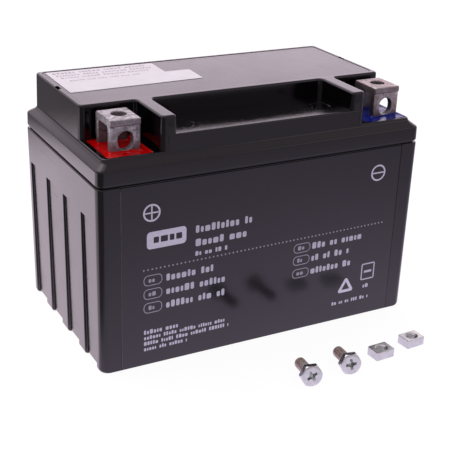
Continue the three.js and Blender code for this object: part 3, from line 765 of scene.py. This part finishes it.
def film_print():
    """Outlines of the bright marks, badge blocks, text lines and faint marks, in X and Z."""
    rng = random.Random(7)
    # polarity signs: a ring with a cross, and a ring with a bar
    bright = hoop(-52.7, 67.8, 3.0, 3.72)
    bright += [tile(-55.6, -49.8, 67.5, 68.1, 0.05), tile(-53.0, -52.4, 68.15, 70.7, 0.05),
               tile(-53.0, -52.4, 64.9, 67.45, 0.05)]
    bright += hoop(54.6, 67.65, 3.0, 3.72) + [tile(51.7, 57.5, 67.35, 67.95, 0.05)]
    # a plain badge with four plain blocks on it
    bright.append(tile(-54.8, -37.6, 52.3, 59.7, 1.6, 6))
    badge = [tile(x, x + width, 54.7, 57.3, 0.35)
             for x, width in ((-51.9, 2.3), (-48.8, 3.1), (-44.9, 2.0), (-42.1, 2.6))]
    text, small, faint = [], [], []
    for x0, x1, z, height, letter, words in HEADINGS:
        text += blocks(rng, x0, x1, z, height, words, letter)
    dots = [arc(-56.1 + 1.83 * i, 43.5, 0.37, range(0, 360, 36)) for i in range(64)]
    for (x0, x1, below, above), inside, (start, drop, height, words), rows in COLUMNS:
        for z, end in rows:
            faint += frame_shape(x0, x1, z - below, z + above, 0.34, 2.0)
            faint += blocks(rng, *inside, z + 0.1, 1.9, (2,))
            text += blocks(rng, start, end, z - drop, height, words, letter=0.5)
    for z, x1, height in SMALL_LINES:
        small += blocks(rng, -56.0, x1, z, height, (4, 6, 3, 5), letter=0.5)
    # bottom right: a hollow triangle, and a hollow box with a short bar in it
    bright += hollow_triangle([(37.9, 12.4), (46.9, 12.4), (42.4, 20.2)], 1.35)
    small += frame_shape(50.3, 57.5, 16.4, 24.6, 0.6, 0.8)
    small.append(tile(51.9, 55.9, 19.9, 21.0, 0.15))
    small += blocks(rng, 51.9, 56.2, 12.4, 1.9, (2,), letter=0.6)
    small += blocks(rng, 35.6, 55.4, 6.9, 1.7, (2, 2, 3, 2, 2), letter=0.52)
    # the print sits a little askew: everything rises slightly towards +X
    return [[[(x, z + 0.0105 * (x + 55.0)) for x, z in shape] for shape in group]
            for group in (bright, badge, text + small, faint + dots)]


def film_sheet(name, shapes, material, lift=0.001, thickness=0.02):
    obj = sheet(name, shapes, FILM_Y - lift, thickness)
    outward(obj)
    finish_piece(obj, "battery", material, "label_film")


def build_film():
    film = prism_y(rect(-FILM_HALF, FILM_HALF, 0.6, 79.8, 0.5, 5), FILM_Y, FILM_Y + 0.15,
                   "front_label_film")
    bevel(film, 0.07)
    smooth(film, 40)
    finish_piece(film, "battery", FILM, "label_film", "front_label")
    bright, badge, text, faint = film_print()
    film_sheet("label_marks_bright", bright, PRINT_BRIGHT)
    film_sheet("label_lines", text, PRINT_TEXT)
    film_sheet("label_fine_marks", faint, PRINT_FAINT)
    # painted highlight along the film's edge at -X, as pale strips: width, z0, z1
    highlight_strips = [tile(-FILM_HALF + 0.02, -FILM_HALF + width, z0, z1, 0.05)
              for width, z0, z1 in ((0.26, 1.2, 30.0), (0.2, 30.6, 61.0), (0.3, 61.4, 78.6))]
    film_sheet("label_edge_painted_highlight", highlight_strips, FILM_EDGE_HIGHLIGHT, thickness=0.015)
    film_sheet("label_badge_blocks", badge, FILM, lift=0.018)


build_film()

# ------------------------------------------------------------------ lid
# half length, front y, back y, corner radius, height: band, sloped shoulder with a soft outer
# edge, crease, rim wall and its rounded top
LID_RINGS = [
    (74.55, -43.05, 43.05, 2.9, 81.2), (74.78, -43.28, 43.28, 3.1, 81.34),
    (74.9, -43.4, 43.4, 3.2, 81.65), (74.8, -43.33, 43.33, 3.18, 86.7),
    (74.7, -43.25, 43.25, 3.15, 87.0), (74.5, -43.08, 43.08, 3.1, 87.28),
    (74.2, -42.82, 42.8, 3.0, 87.55), (73.8, -42.45, 42.4, 2.9, 87.85),
    (72.6, -41.3, 40.95, 2.6, 88.75), (72.15, -40.85, 40.45, 2.45, 89.1),
    (71.88, -40.58, 40.1, 2.4, 89.34), (71.64, -40.3, 39.8, 2.35, 89.65),
    (71.44, -40.1, 39.62, 2.3, 90.0), (71.34, -40.0, 39.5, 2.25, 90.35),
    (71.28, -39.95, 39.45, 2.2, 90.54), (71.12, -39.8, 39.3, 2.1, 90.74),
    (70.9, -39.6, 39.1, 2.0, 90.86), (70.6, -39.3, 38.8, 1.8, RIM_TOP),
]
# x, y, corner radius: the upper block with its two notches and the pocket between them
BLOCK_OUTLINE = [
    (-NOTCH_X, NOTCH_BACK, 1.2), (-NOTCH_X, BLOCK_FRONT, 2.5), (-POCKET_X, BLOCK_FRONT, 1.6),
    (-POCKET_X, POCKET_BACK, 1.8), (POCKET_X, POCKET_BACK, 1.8), (POCKET_X, BLOCK_FRONT, 1.9),
    (NOTCH_X, BLOCK_FRONT, 2.3), (NOTCH_X, NOTCH_BACK, 1.2), (BLOCK_X, NOTCH_BACK, 2.6),
    (BLOCK_X, BLOCK_BACK, 2.3), (-BLOCK_X, BLOCK_BACK, 2.3), (-BLOCK_X, NOTCH_BACK, 2.6),
]


def weld_land():
    """Reaches down to the case's rim so that no light gets through the seam."""
    return prism_z(rect(-73.9, 73.9, -42.4, 42.4, 2.6, 8), CASE_TOP + 0.02, 82.4)


def middle_step():
    """Its top is the pocket's floor."""
    front = -40.02
    lip = [(front + inset, z) for inset, z in round_over(0.9, POCKET_FLOOR, range(0, 91, 15))]
    return prism_x([(-10, 84), (front, 84)] + lip + [(-10, POCKET_FLOOR - 0.5)], -44, 44)


def upper_block():
    fillet, draft = 1.0, 0.35
    levels = [(0.0, 84.0), (0.0, RIM_TOP), (draft, HEIGHT - fillet)]
    levels += [(draft + inset, z)
               for inset, z in round_over(fillet, HEIGHT, (15, 30, 45, 60, 75, 90))]
    corners, radii = [(x, y) for x, y, _ in BLOCK_OUTLINE], [r for *_, r in BLOCK_OUTLINE]
    return loft_rows(lambda inset: rounded(corners, radii, inset, 8), levels)


def pool_cut(side):
    x0, x1 = POOL[side]
    edge = 0.45
    rows = [(0, POOL_FLOOR), (0, RIM_TOP - edge), *round_over(edge, RIM_TOP, (20, 40, 60, 80)),
            (edge, RIM_TOP), (edge, RIM_TOP + 0.02)]
    return loft_rows(lambda e: rect(x0 - e, x1 + e, POOL_FRONT - e, POOL_BACK, 1.2 + e, 6), rows)


def seat_cuts():
    """The cover plate's seat with its edge slightly broken, the chamber and finger slots."""
    seat = [(0, 102.9), (0, 104.75), (0.08, 104.9), (0.25, HEIGHT), (0.3, 105.5)]
    cuts = [loft_rows(lambda e: rect(-SEAT_X - e, SEAT_X + e, SEAT_FRONT - e, SEAT_BACK + e,
                                     2.3 + e, 8), seat),
            prism_z(rect(-67.2, 67.2, -10.7, 35.2, 2.0, 6), DECK_TOP, 106)]
    for x in (-69.6, 69.6):
        cuts.append(prism_z(rect(x - 1.1, x + 1.1, 10.1, 14.7, 0.5, 4), 103.4, 106))
    return cuts


def gate_rings():
    """Shallow rings on the pocket floor."""
    profile = [(3.75, 96.8), (4.0, 96.65), (4.6, 96.65), (4.85, 96.8), (4.95, 97.3), (3.65, 97.3)]
    return [lathe(profile, centre=(x, -28, 0)) for x in (-32, 32)]


def head_room():
    """Space over each cell: under the block, across the rim and under the pocket."""
    cuts = []
    for i, x in enumerate(CELL_X):
        x0 = -68.6 if i == 0 else x - CELL_WIDTH / 2
        x1 = 68.6 if i == 5 else x + CELL_WIDTH / 2
        cuts.append(box(x0, x1, POCKET_BACK + 3, 36.9, 79, DECK_TOP - 2))
        cuts.append(box(x0, x1, -39.3, 39.6, 78.9, 83.4))
        front0, front1 = max(x0, -POCKET_X + 2), min(x1, POCKET_X - 2)
        if front1 - front0 > 3:
            cuts.append(box(front0, front1, -37.2, POCKET_BACK + 3.1, 78.8, POCKET_FLOOR - 2.4))
    return cuts


def build_lid():
    lid = loft([rect(-x, x, y0, y1, r, 10) for x, y0, y1, r, _ in LID_RINGS],
               [z for *_, z in LID_RINGS], "lid_shell")
    join(lid, weld_land(), middle_step(), upper_block())
    cut(lid, pool_cut(-1), pool_cut(1), *seat_cuts(), *gate_rings(), *head_room())
    neck = [(0, DECK_TOP - 0.5), (5.0, DECK_TOP - 0.5), (5.0, 100.1), (4.7, 100.4), (0, 100.4)]
    for x in CELL_X:
        join(lid, lathe(neck, 32, (x, VENT_Y, 0)))
        cut(lid, cylinder(3.2, DECK_TOP - 4, 101, 28, (x, VENT_Y, 0)))
    bore = [(0, 80), (4.8, 80), (4.8, 85), (7.4, 85), (7.4, 88.4), (0, 88.4)]
    for x in TERMINAL_X.values():
        cut(lid, lathe(bore, 36, (x, POST_Y, 0)))
    clean(lid, 0.3)
    smooth(lid, 36)
    finish_piece(lid, "battery", LID_BLACK, "case_plastic", "lid")


build_lid()

# ------------------------------------------------------------------ cover plate and paper label
# x, y, corner radius
PAPER_OUTLINE = [(-67.8, 3.4, 0.7), (-7.2, 4.9, 0.7), (-6.6, 19.8, 0.7),
                 (-18.4, 19.9, 0.15), (-18.0, 35.3, 0.7), (-67.6, 36.3, 0.7)]
# y, height, x0, x1
PAPER_LINES = ((31.6, 2.2, -65.5, -22.0), (27.8, 2.0, -65.0, -21.0), (24.2, 1.9, -64.2, -24.0))


def build_plate():
    x, front, back = SEAT_X - SEAT_GAP, SEAT_FRONT + SEAT_GAP, SEAT_BACK - SEAT_GAP
    edge = 0.25
    rows = [(0.15, PLATE_BOTTOM), (0.0, PLATE_BOTTOM + 0.15), (0.0, PLATE_TOP - edge)]
    rows += round_over(edge, PLATE_TOP, (22.5, 45, 67.5, 90))
    plate = loft_rows(lambda e: rect(-x + e, x - e, front + e, back - e, 2.1 - e, 8), rows,
                      "cover_plate_moulding")
    # stiffening ribs under the plate, clear of the vent caps
    for y in (-8.0, 31.5):
        join(plate, box(-63, 63, y - 0.6, y + 0.6, 100.2, 103.4))
    for x_rib in WALL_X:
        join(plate, box(x_rib - 0.5, x_rib + 0.5, -8.3, 31.8, 101.2, 103.4))
    clean(plate)
    smooth(plate, 38)
    finish_piece(plate, "cover", COVER_BLACK, "case_plastic", "cover_plate")


def build_paper_label():
    shape = rounded([(x, y) for x, y, _ in PAPER_OUTLINE], [r for *_, r in PAPER_OUTLINE],
                    steps=5)
    label = prism_z(shape, PLATE_TOP + 0.03, PLATE_TOP + 0.17, "paper_label")
    bevel(label, 0.03, segments=2)
    smooth(label, 40)
    finish_piece(label, "cover", PAPER, "label_paper", "top_label")


def build_paper_marks():
    """Faint rows of plain marks, towards the label's back; stood up, then laid flat."""
    rng = random.Random(11)
    shapes = []
    for y, height, x0, x1 in PAPER_LINES:
        shapes += blocks(rng, x0, x1, y, height, (5, 7, 8, 6), letter=0.5, gap=0.24)
    shapes += blocks(rng, -62.0, -30.0, 19.6, 1.3, (4, 6, 5))
    marks = sheet("paper_label_marks", shapes, 0.0, 0.012)
    lay_flat = Matrix(((1, 0, 0, 0), (0, 0, 1, 0), (0, -1, 0, 0), (0, 0, 0, 1)))
    marks.data.transform(Matrix.Translation((0, 0, (PLATE_TOP + 0.169) * MM)) @ lay_flat)
    outward(marks)
    finish_piece(marks, "cover", PRINT_GREY, "label_paper")


build_plate()
build_paper_label()
build_paper_marks()


# ------------------------------------------------------------------ terminals, resin
def dent(block, side):
    """A slow swell of a few hundredths of a millimetre and soft dents, above the resin."""
    with editing(block) as bm:
        bmesh.ops.triangulate(bm, faces=[f for f in bm.faces if len(f.verts) > 4])
        for longest, cuts in ((2.2, 2), (1.6, 1)):
            edges = [e for e in bm.edges if e.calc_length() > longest * MM]
            bmesh.ops.subdivide_edges(bm, edges=edges, cuts=cuts, use_grid_fill=True)
        bm.normal_update()
        for v in bm.verts:
            if v.co.z < 88.5 * MM:
                continue
            p = v.co / MM
            swell = 0.05 * noise.noise(p * 0.45 + Vector((side * 7.0, 0, 0)))
            v.co += v.normal * ((swell + 0.035 * noise.noise(p * 1.3)) * MM)


def build_terminal(side):
    x, name = TERMINAL_X[side], SIDE_NAME[side]
    x0, x1 = x - TERMINAL_HALF, x + TERMINAL_HALF
    front, back, top = TERMINAL_FRONT, TERMINAL_BACK, TERMINAL_TOP
    base, under = POOL_FLOOR + 0.3, top - SLAB
    window_front, window_back = front + FRONT_LEG, back - BACK_LEG
    # y, z, corner radius: an arch seen from the side, with a lip over its front
    arch = [(front + 0.05, base, 0), (window_front, base, 0), (window_front, under, 1.1),
            (window_back, under, 1.6), (window_back, base, 0), (back, base, 0), (back, top, 1.5),
            (front - 0.45, top, 0.7), (front - 0.45, top - 2.3, 0.35),
            (front + 0.02, top - 2.75, 0.5)]
    block = prism_x(rounded([(y, z) for y, z, _ in arch], [r for *_, r in arch]), x0, x1,
                    name + "_terminal_casting")
    cut(block, cylinder(3.15, top - 6, top + 2, 48, (x + 0.4, -25.2, 0)))
    slot = arc(x, 94.2, 3.1, range(180, 361, 9)) + arc(x, 95.5, 3.1, range(0, 181, 9))
    cut(block, prism_y(slot, front - 3, window_front + 1.2))
    clean(block, 0.5)
    bevel(block, 0.42, segments=4, angle=42, where=lambda p: p.z > base + 1.0)
    post = [(0, 77.3), (4.2, 77.3), (4.5, 77.6), (4.5, base + 0.6), (0, base + 0.6)]
    join(block, box(x0 + 0.2, x1 - 0.2, front + 0.3, back - 0.3, base, base + 1.5),
         lathe(post, 36, (x, POST_Y, 0)))
    dent(block, side)
    smooth(block, 40)
    finish_piece(block, "battery", LEAD[side], "lead_alloy", name + "_terminal")


def build_resin(side):
    """The resin's skin climbs a little where it meets the casting and the pool's walls."""
    x0, x1 = POOL[side][0] + 0.02, POOL[side][1] - 0.02
    y0, y1 = POOL_FRONT + 0.02, -15.34
    leg_x0, leg_x1 = TERMINAL_X[side] - TERMINAL_HALF, TERMINAL_X[side] + TERMINAL_HALF
    legs = [(TERMINAL_FRONT, TERMINAL_FRONT + FRONT_LEG),
            (TERMINAL_BACK - BACK_LEG, TERMINAL_BACK)]
    nx, ny = 110, 120

    def lift(x, y):
        leg = min(math.hypot(max(leg_x0 - x, 0, x - leg_x1), max(a - y, 0, y - b))
                  for a, b in legs)
        wall = min(x - x0, x1 - x, y - y0, y1 - y)
        swell = 0.06 * noise.noise(Vector((x * 0.22, y * 0.22, side * 3.0)))
        swell += 0.02 * noise.noise(Vector((x * 0.9, y * 0.9, side * 5.0)))
        # the blue resin was poured fuller, nearly level with the rim at the outer end
        full = 0.42 * min(1.0, max(0.0, (x - 60.0) / 8.0)) if side > 0 else 0.0
        return 0.62 * math.exp(-(leg / 0.62)) + 0.34 * math.exp(-(wall / 0.5)) + swell + full

    xs = [x0 + (x1 - x0) * i / nx for i in range(nx + 1)]
    ys = [y0 + (y1 - y0) * j / ny for j in range(ny + 1)]
    verts = [(x, y, POOL_TOP - 0.12 + lift(x, y)) for y in ys for x in xs]
    row = nx + 1
    faces = [(a, a + 1, a + 1 + row, a + row)
             for j in range(ny) for a in range(j * row, j * row + nx)]
    # walk round the border, then drop a wall from it to the floor
    border = [*range(row), *(j * row + nx for j in range(1, ny + 1)),
              *(ny * row + i for i in range(nx - 1, -1, -1)),
              *(j * row for j in range(ny - 1, 0, -1))]
    low = {b: len(verts) + k for k, b in enumerate(border)}
    verts += [(verts[b][0], verts[b][1], POOL_FLOOR + 0.1) for b in border]
    faces += [(a, low[a], low[b], b) for a, b in zip(border, border[1:] + border[:1])]
    faces.append(tuple(low[b] for b in reversed(border)))
    obj = new_object(SIDE_NAME[side] + "_resin", verts, faces)
    outward(obj)
    smooth(obj, 50)
    finish_piece(obj, "battery", RESIN[side], "epoxy_red" if side < 0 else "epoxy_blue",
                 SIDE_NAME[side] + "_epoxy_seal")


for side in (-1, 1):
    build_terminal(side)
    build_resin(side)


# ------------------------------------------------------------------ screws and nuts
def thread(z0, z1, minor, major, lead_in, steps=36):
    """A shank with a helical thread, a saw of height and turn that narrows at the top end.
    With lead_in the thread also fades out at both ends."""
    rows = int((z1 - z0) / THREAD_PITCH * 10)
    verts = []
    for k in range(rows + 1):
        z = z0 + (z1 - z0) * k / rows
        fade = min(1.0, max(0.0, (z - z0) / 0.35), max(0.0, (z1 - z) / 0.05)) if lead_in else 1.0
        end = min(1.0, (z1 - z) / 0.7)
        limit = minor - 0.35 + (major - minor + 0.35) * end + 0.02
        for i in range(steps):
            angle = 2 * math.pi * i / steps
            phase = ((z - z0) / THREAD_PITCH - i / steps) % 1.0
            tooth = min(1.0, max(0.0, (1 - abs(2 * phase - 1) - 0.12) / 0.72))
            r = min(minor + (major - minor) * tooth * fade, limit)
            verts.append((r * math.cos(angle), r * math.sin(angle), z))
    return skin("tool", verts, rows + 1)


# radius, height: the head's face is domed and turned down to a circle
HEAD_DOME = [(0, 0.0), (3.2, 0.0), (4.0, 0.05), (4.28, 0.18), (4.47, 0.42), (4.63, 0.75),
             (4.78, 1.1), (4.95, 1.55), (5.2, 2.1), (5.2, SCREW_HEAD + 1), (0, SCREW_HEAD + 1)]


def cut_cross(body, cross):
    """Cross recess: four tapering wings round a deeper middle."""
    for turn in (cross, cross + math.pi / 2):
        wing = loft([rect(-0.45, 0.45, -1.15, 1.15, 0.12, 3),
                     rect(-0.55, 0.55, -2.35, 2.35, 0.14, 3),
                     rect(-0.6, 0.6, -2.5, 2.5, 0.14, 3)], [2.1, 0.1, -0.6])
        outward(wing)
        wing.data.transform(Matrix.Rotation(turn, 4, "Z"))
        cut(body, wing)
    cut(body, lathe([(0, 2.35), (0.75, 2.0), (1.25, 0.1), (1.3, -0.6), (0, -0.6)], 24))


def build_screw(index, x, y, cross):
    """Modelled head down on Z, then laid on its side."""
    half, head = SCREW_FLATS / 2, SCREW_HEAD
    hexagon = arc(0, 0, half / math.cos(math.pi / 6), range(0, 360, 60))
    body = prism_z(rounded(hexagon, [0.25] * 6, steps=3), 0.0, head,
                   "terminal_screw_%d_steel" % index)
    combine("INTERSECT", body, [lathe(HEAD_DOME, 72)])
    # thin washer face under the head
    join(body, lathe([(0, head - 0.4), (half - 0.15, head - 0.4), (half - 0.15, head + 0.25),
                      (half - 0.3, head + 0.35), (0, head + 0.35)]))
    cut_cross(body, cross)
    clean(body, 0.5)
    bevel(body, 0.12, segments=2)
    join(body, thread(head - 0.2, head + SCREW_LENGTH + 0.6, SCREW_RADIUS - 0.42, SCREW_RADIUS,
                      lead_in=True))
    # it rests on the head's edge and the shank's tip
    tilt = math.atan((half - SCREW_RADIUS) / SCREW_LENGTH)
    body.data.transform(Matrix.Rotation(-SCREW_AZIMUTH, 4, "Z")
                        @ Matrix.Rotation(-math.pi / 2 - tilt, 4, "X")
                        @ Matrix.Rotation(SCREW_SPIN, 4, "Z"))
    node = "terminal_screw_%d" % index
    lowest = min(v.co.z for v in body.data.vertices)
    body.data.transform(Matrix.Translation((x * MM, y * MM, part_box(node)[0].z - lowest)))
    smooth(body, 34)
    finish_piece(body, "screw_%d" % index, NICKEL_SCREW, "plated_steel", node)


def build_nut(index, x, y, turn):
    h = NUT_HEIGHT
    nut = prism_z(rect(-NUT_X / 2, NUT_X / 2, -NUT_Y / 2, NUT_Y / 2, 0.5, 5), 0, h,
                  "terminal_nut_%d_steel" % index)
    bevel(nut, 0.22)
    # threaded bore with a countersunk mouth on both faces
    cut(nut, thread(-0.8, h + 0.8, 2.05, 2.42, lead_in=False, steps=40),
        lathe([(0, -0.5), (3.05, -0.5), (2.85, 0.0), (2.1, 0.62), (0, 0.62)]),
        lathe([(0, h - 0.62), (2.1, h - 0.62), (2.85, h), (3.05, h + 0.5), (0, h + 0.5)]))
    nut.data.transform(Matrix.Translation((x * MM, y * MM, 0)) @ Matrix.Rotation(turn, 4, "Z"))
    smooth(nut, 34)
    finish_piece(nut, "nut_%d" % index, NICKEL, "plated_steel", "terminal_nut_%d" % index)


build_screw(1, x=-1.25, y=-86.3, cross=0.0)
build_screw(2, x=18.3, y=-85.3, cross=math.radians(23))
build_nut(1, x=38.6, y=-77.9, turn=math.radians(3))
build_nut(2, x=56.7, y=-75.0, turn=math.radians(4))

# ------------------------------------------------------------------ pieces kept from the CAD
# materials by the start of the piece's name
KEPT = {
    "positive_plates": paste_material("paste_positive", (0.20, 0.10, 0.06), (0.11, 0.055, 0.035)),
    "negative_plates": paste_material("paste_negative", (0.34, 0.35, 0.37), (0.22, 0.225, 0.24)),
    "separator_mat": mat_material(),
    "gel_electrolyte": gel_material(),
    "cell_weld": LEAD[-1],
    "vent_cap": RUBBER,
    "positive_o_ring": RUBBER,
    "negative_o_ring": RUBBER,
}


def dress_kept_piece(name, obj):
    material = next((KEPT[key] for key in KEPT if name.startswith(key)), CASE_BLACK)
    if not obj.material_slots:
        obj.data.materials.append(material)
    for slot in obj.material_slots:
        slot.material = material
    if not name.endswith("o_ring"):
        m = obj.modifiers.new("edges", "BEVEL")
        m.width, m.segments = (0.18 if name.startswith("vent_cap") else 0.12) * MM, 2
        m.limit_method, m.angle_limit = "ANGLE", math.radians(40)


for name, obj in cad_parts.items():
    if not obj.hide_render:
        dress_kept_piece(name, obj)

# ------------------------------------------------------------------ floor, light and camera
# floor glow in reflections: beside the battery and far off, in front and at the back left
GLOW_FRONT, GLOW_FAR, GLOW_LEFT, GLOW_FAR_LEFT = 0.88, 0.30, 1.62, 0.12
SKY_BASE, SKY_BACK, SKY_LEFT, SKY_TOP = 0.58, 1.16, 0.20, 0.98


def floor_material():
    """Plain pale to the camera; elsewhere its glow fades with distance from the battery."""
    material = bpy.data.materials.new("pale_floor")
    t = Nodes(material, "OutputMaterial")
    place = t.xyz(t.add("NewGeometry").outputs["Position"])

    def beyond(axis, half):
        return t.calc("MAXIMUM", t.calc("SUBTRACT", t.calc("ABSOLUTE", place[axis]), half * MM))

    def length(a, b):
        return t.calc("SQRT", t.plus(t.times(a, a), t.times(b, b)))

    dx, dy = beyond("X", HALF_LENGTH), beyond("Y", HALF_WIDTH)
    fall = t.calc("POWER", 2.71828, t.times(length(dx, dy), -7))
    front = t.plus(t.times(fall, GLOW_FRONT), GLOW_FAR)
    front = t.times(front, t.step(place["X"], (-0.13, -0.08), to=(0.25, 1)))
    left = t.step(length(t.times(dx, 0.5), dy), (0.14, 0.30), to=(GLOW_LEFT, GLOW_FAR_LEFT))
    # 1 in the back left part of the floor, 0 elsewhere
    back = t.times(t.step(place["Y"], (-0.046, -0.024)),
                   t.step(place["X"], (-0.06, -0.03), to=(1, 0)))
    glow = t.plus(t.times(front, t.calc("SUBTRACT", 1, back)), t.times(left, back))
    tints = [t.add("RGB").outputs[0] for _ in range(2)]
    tints[0].default_value = (1.0, 0.86, 1.12, 1)
    tints[1].default_value = (1.0, 0.86, 0.98, 1)
    lit = t.scaled(t.mix(back, *tints), glow)
    emission = t.add("Emission", Color=t.by_ray(seen=(0.93, 0.93, 0.93), lit=lit))
    diffuse = t.add("BsdfDiffuse", Color=(0.13, 0.13, 0.13))
    t.surface(t.add("AddShader", emission.outputs[0], diffuse.outputs[0]))
    return material


def build_floor():
    size = 12000.0
    corners = [(-size, -size, 0), (size, -size, 0), (size, size, 0), (-size, size, 0)]
    floor = new_object("floor", corners, [(0, 1, 2, 3)])
    floor.location.z = -0.00005
    floor.data.materials.append(floor_material())


def build_world():
    """White to the camera; a bright screen behind, a soft ceiling, a dimmer room in front."""
    world = bpy.data.worlds.new("studio")
    scene.world = world
    t = Nodes(world, "OutputWorld")
    direction = t.add("TexCoord").outputs["Generated"]

    def towards(*vector):
        node = t.add("VectorMath")
        node.operation = "DOT_PRODUCT"
        return t.fill(node, direction, vector).outputs["Value"]

    behind = t.step(towards(0, 1, 0), (0, 0.55))
    low = t.step(towards(0, 0, 1), (0.45, 0.80), to=(1, 0))
    # the screen ends on the left
    end = t.step(towards(1, 0, 0), (-0.33, 0.10), to=(0.12, 1))
    screen = t.times(t.times(t.times(behind, low), end), SKY_BACK)
    left = t.times(t.times(t.step(towards(-0.5, 0.86, 0), (0.55, 0.95)), low), SKY_LEFT)
    ceiling = t.times(t.step(towards(-0.17, 0.44, 0.88), (0.76, 0.93)), SKY_TOP)
    level = t.plus(t.plus(t.plus(screen, left), ceiling), SKY_BASE)
    lit = t.scaled((1.0, 0.86, 0.98), level)
    t.surface(t.add("Background", Color=t.by_ray(seen=(1, 1, 1), lit=lit)))


def softbox(name, place, target, size, power):
    data = bpy.data.lights.new(name, "AREA")
    data.shape, data.size, data.energy, data.color = "DISK", size, power, (1.0, 0.93, 0.98)
    obj = bpy.data.objects.new(name, data)
    scene.collection.objects.link(obj)
    obj.location = place
    obj.rotation_mode = "QUATERNION"
    obj.rotation_quaternion = (Vector(target) - Vector(place)).to_track_quat("-Z", "Y")


def build_camera():
    """Looks down from the front left; rough_right sets its slight roll."""
    place, rough_right = (-0.2024, -0.3778, 0.2214), Vector((0.8839, -0.4666, 0.0319))
    yaw, pitch = math.radians(28.62), math.radians(23.39)
    data = bpy.data.cameras.new("camera")
    camera = bpy.data.objects.new("camera", data)
    scene.collection.objects.link(camera)
    data.sensor_width, data.lens = 36.0, 81.32654867
    data.shift_x, data.shift_y = 0.00088495575, -0.00022123894
    data.clip_start, data.clip_end = 0.01, 60.0
    forward = Vector((math.sin(yaw) * math.cos(pitch), math.cos(yaw) * math.cos(pitch),
                      -math.sin(pitch)))
    right = (rough_right - forward * rough_right.dot(forward)).normalized()
    up = right.cross(forward).normalized()
    turn = Matrix((right, up, -forward)).transposed().to_4x4()
    camera.matrix_world = Matrix.Translation(place) @ turn
    scene.camera = camera


build_floor()
build_world()
softbox("key_softbox", place=(-0.35, 0.45, 1.1), target=(0, 0, 0.06), size=0.6, power=1.2)
softbox("fill_softbox", place=(0.8, -0.9, 0.75), target=(0, 0, 0.05), size=0.5, power=0.25)
build_camera()
scene.view_settings.view_transform = "Standard"
scene.view_settings.look = "None"
scene.view_settings.exposure = 0.0
scene.view_settings.gamma = 1.0

bpy.context.view_layer.update()
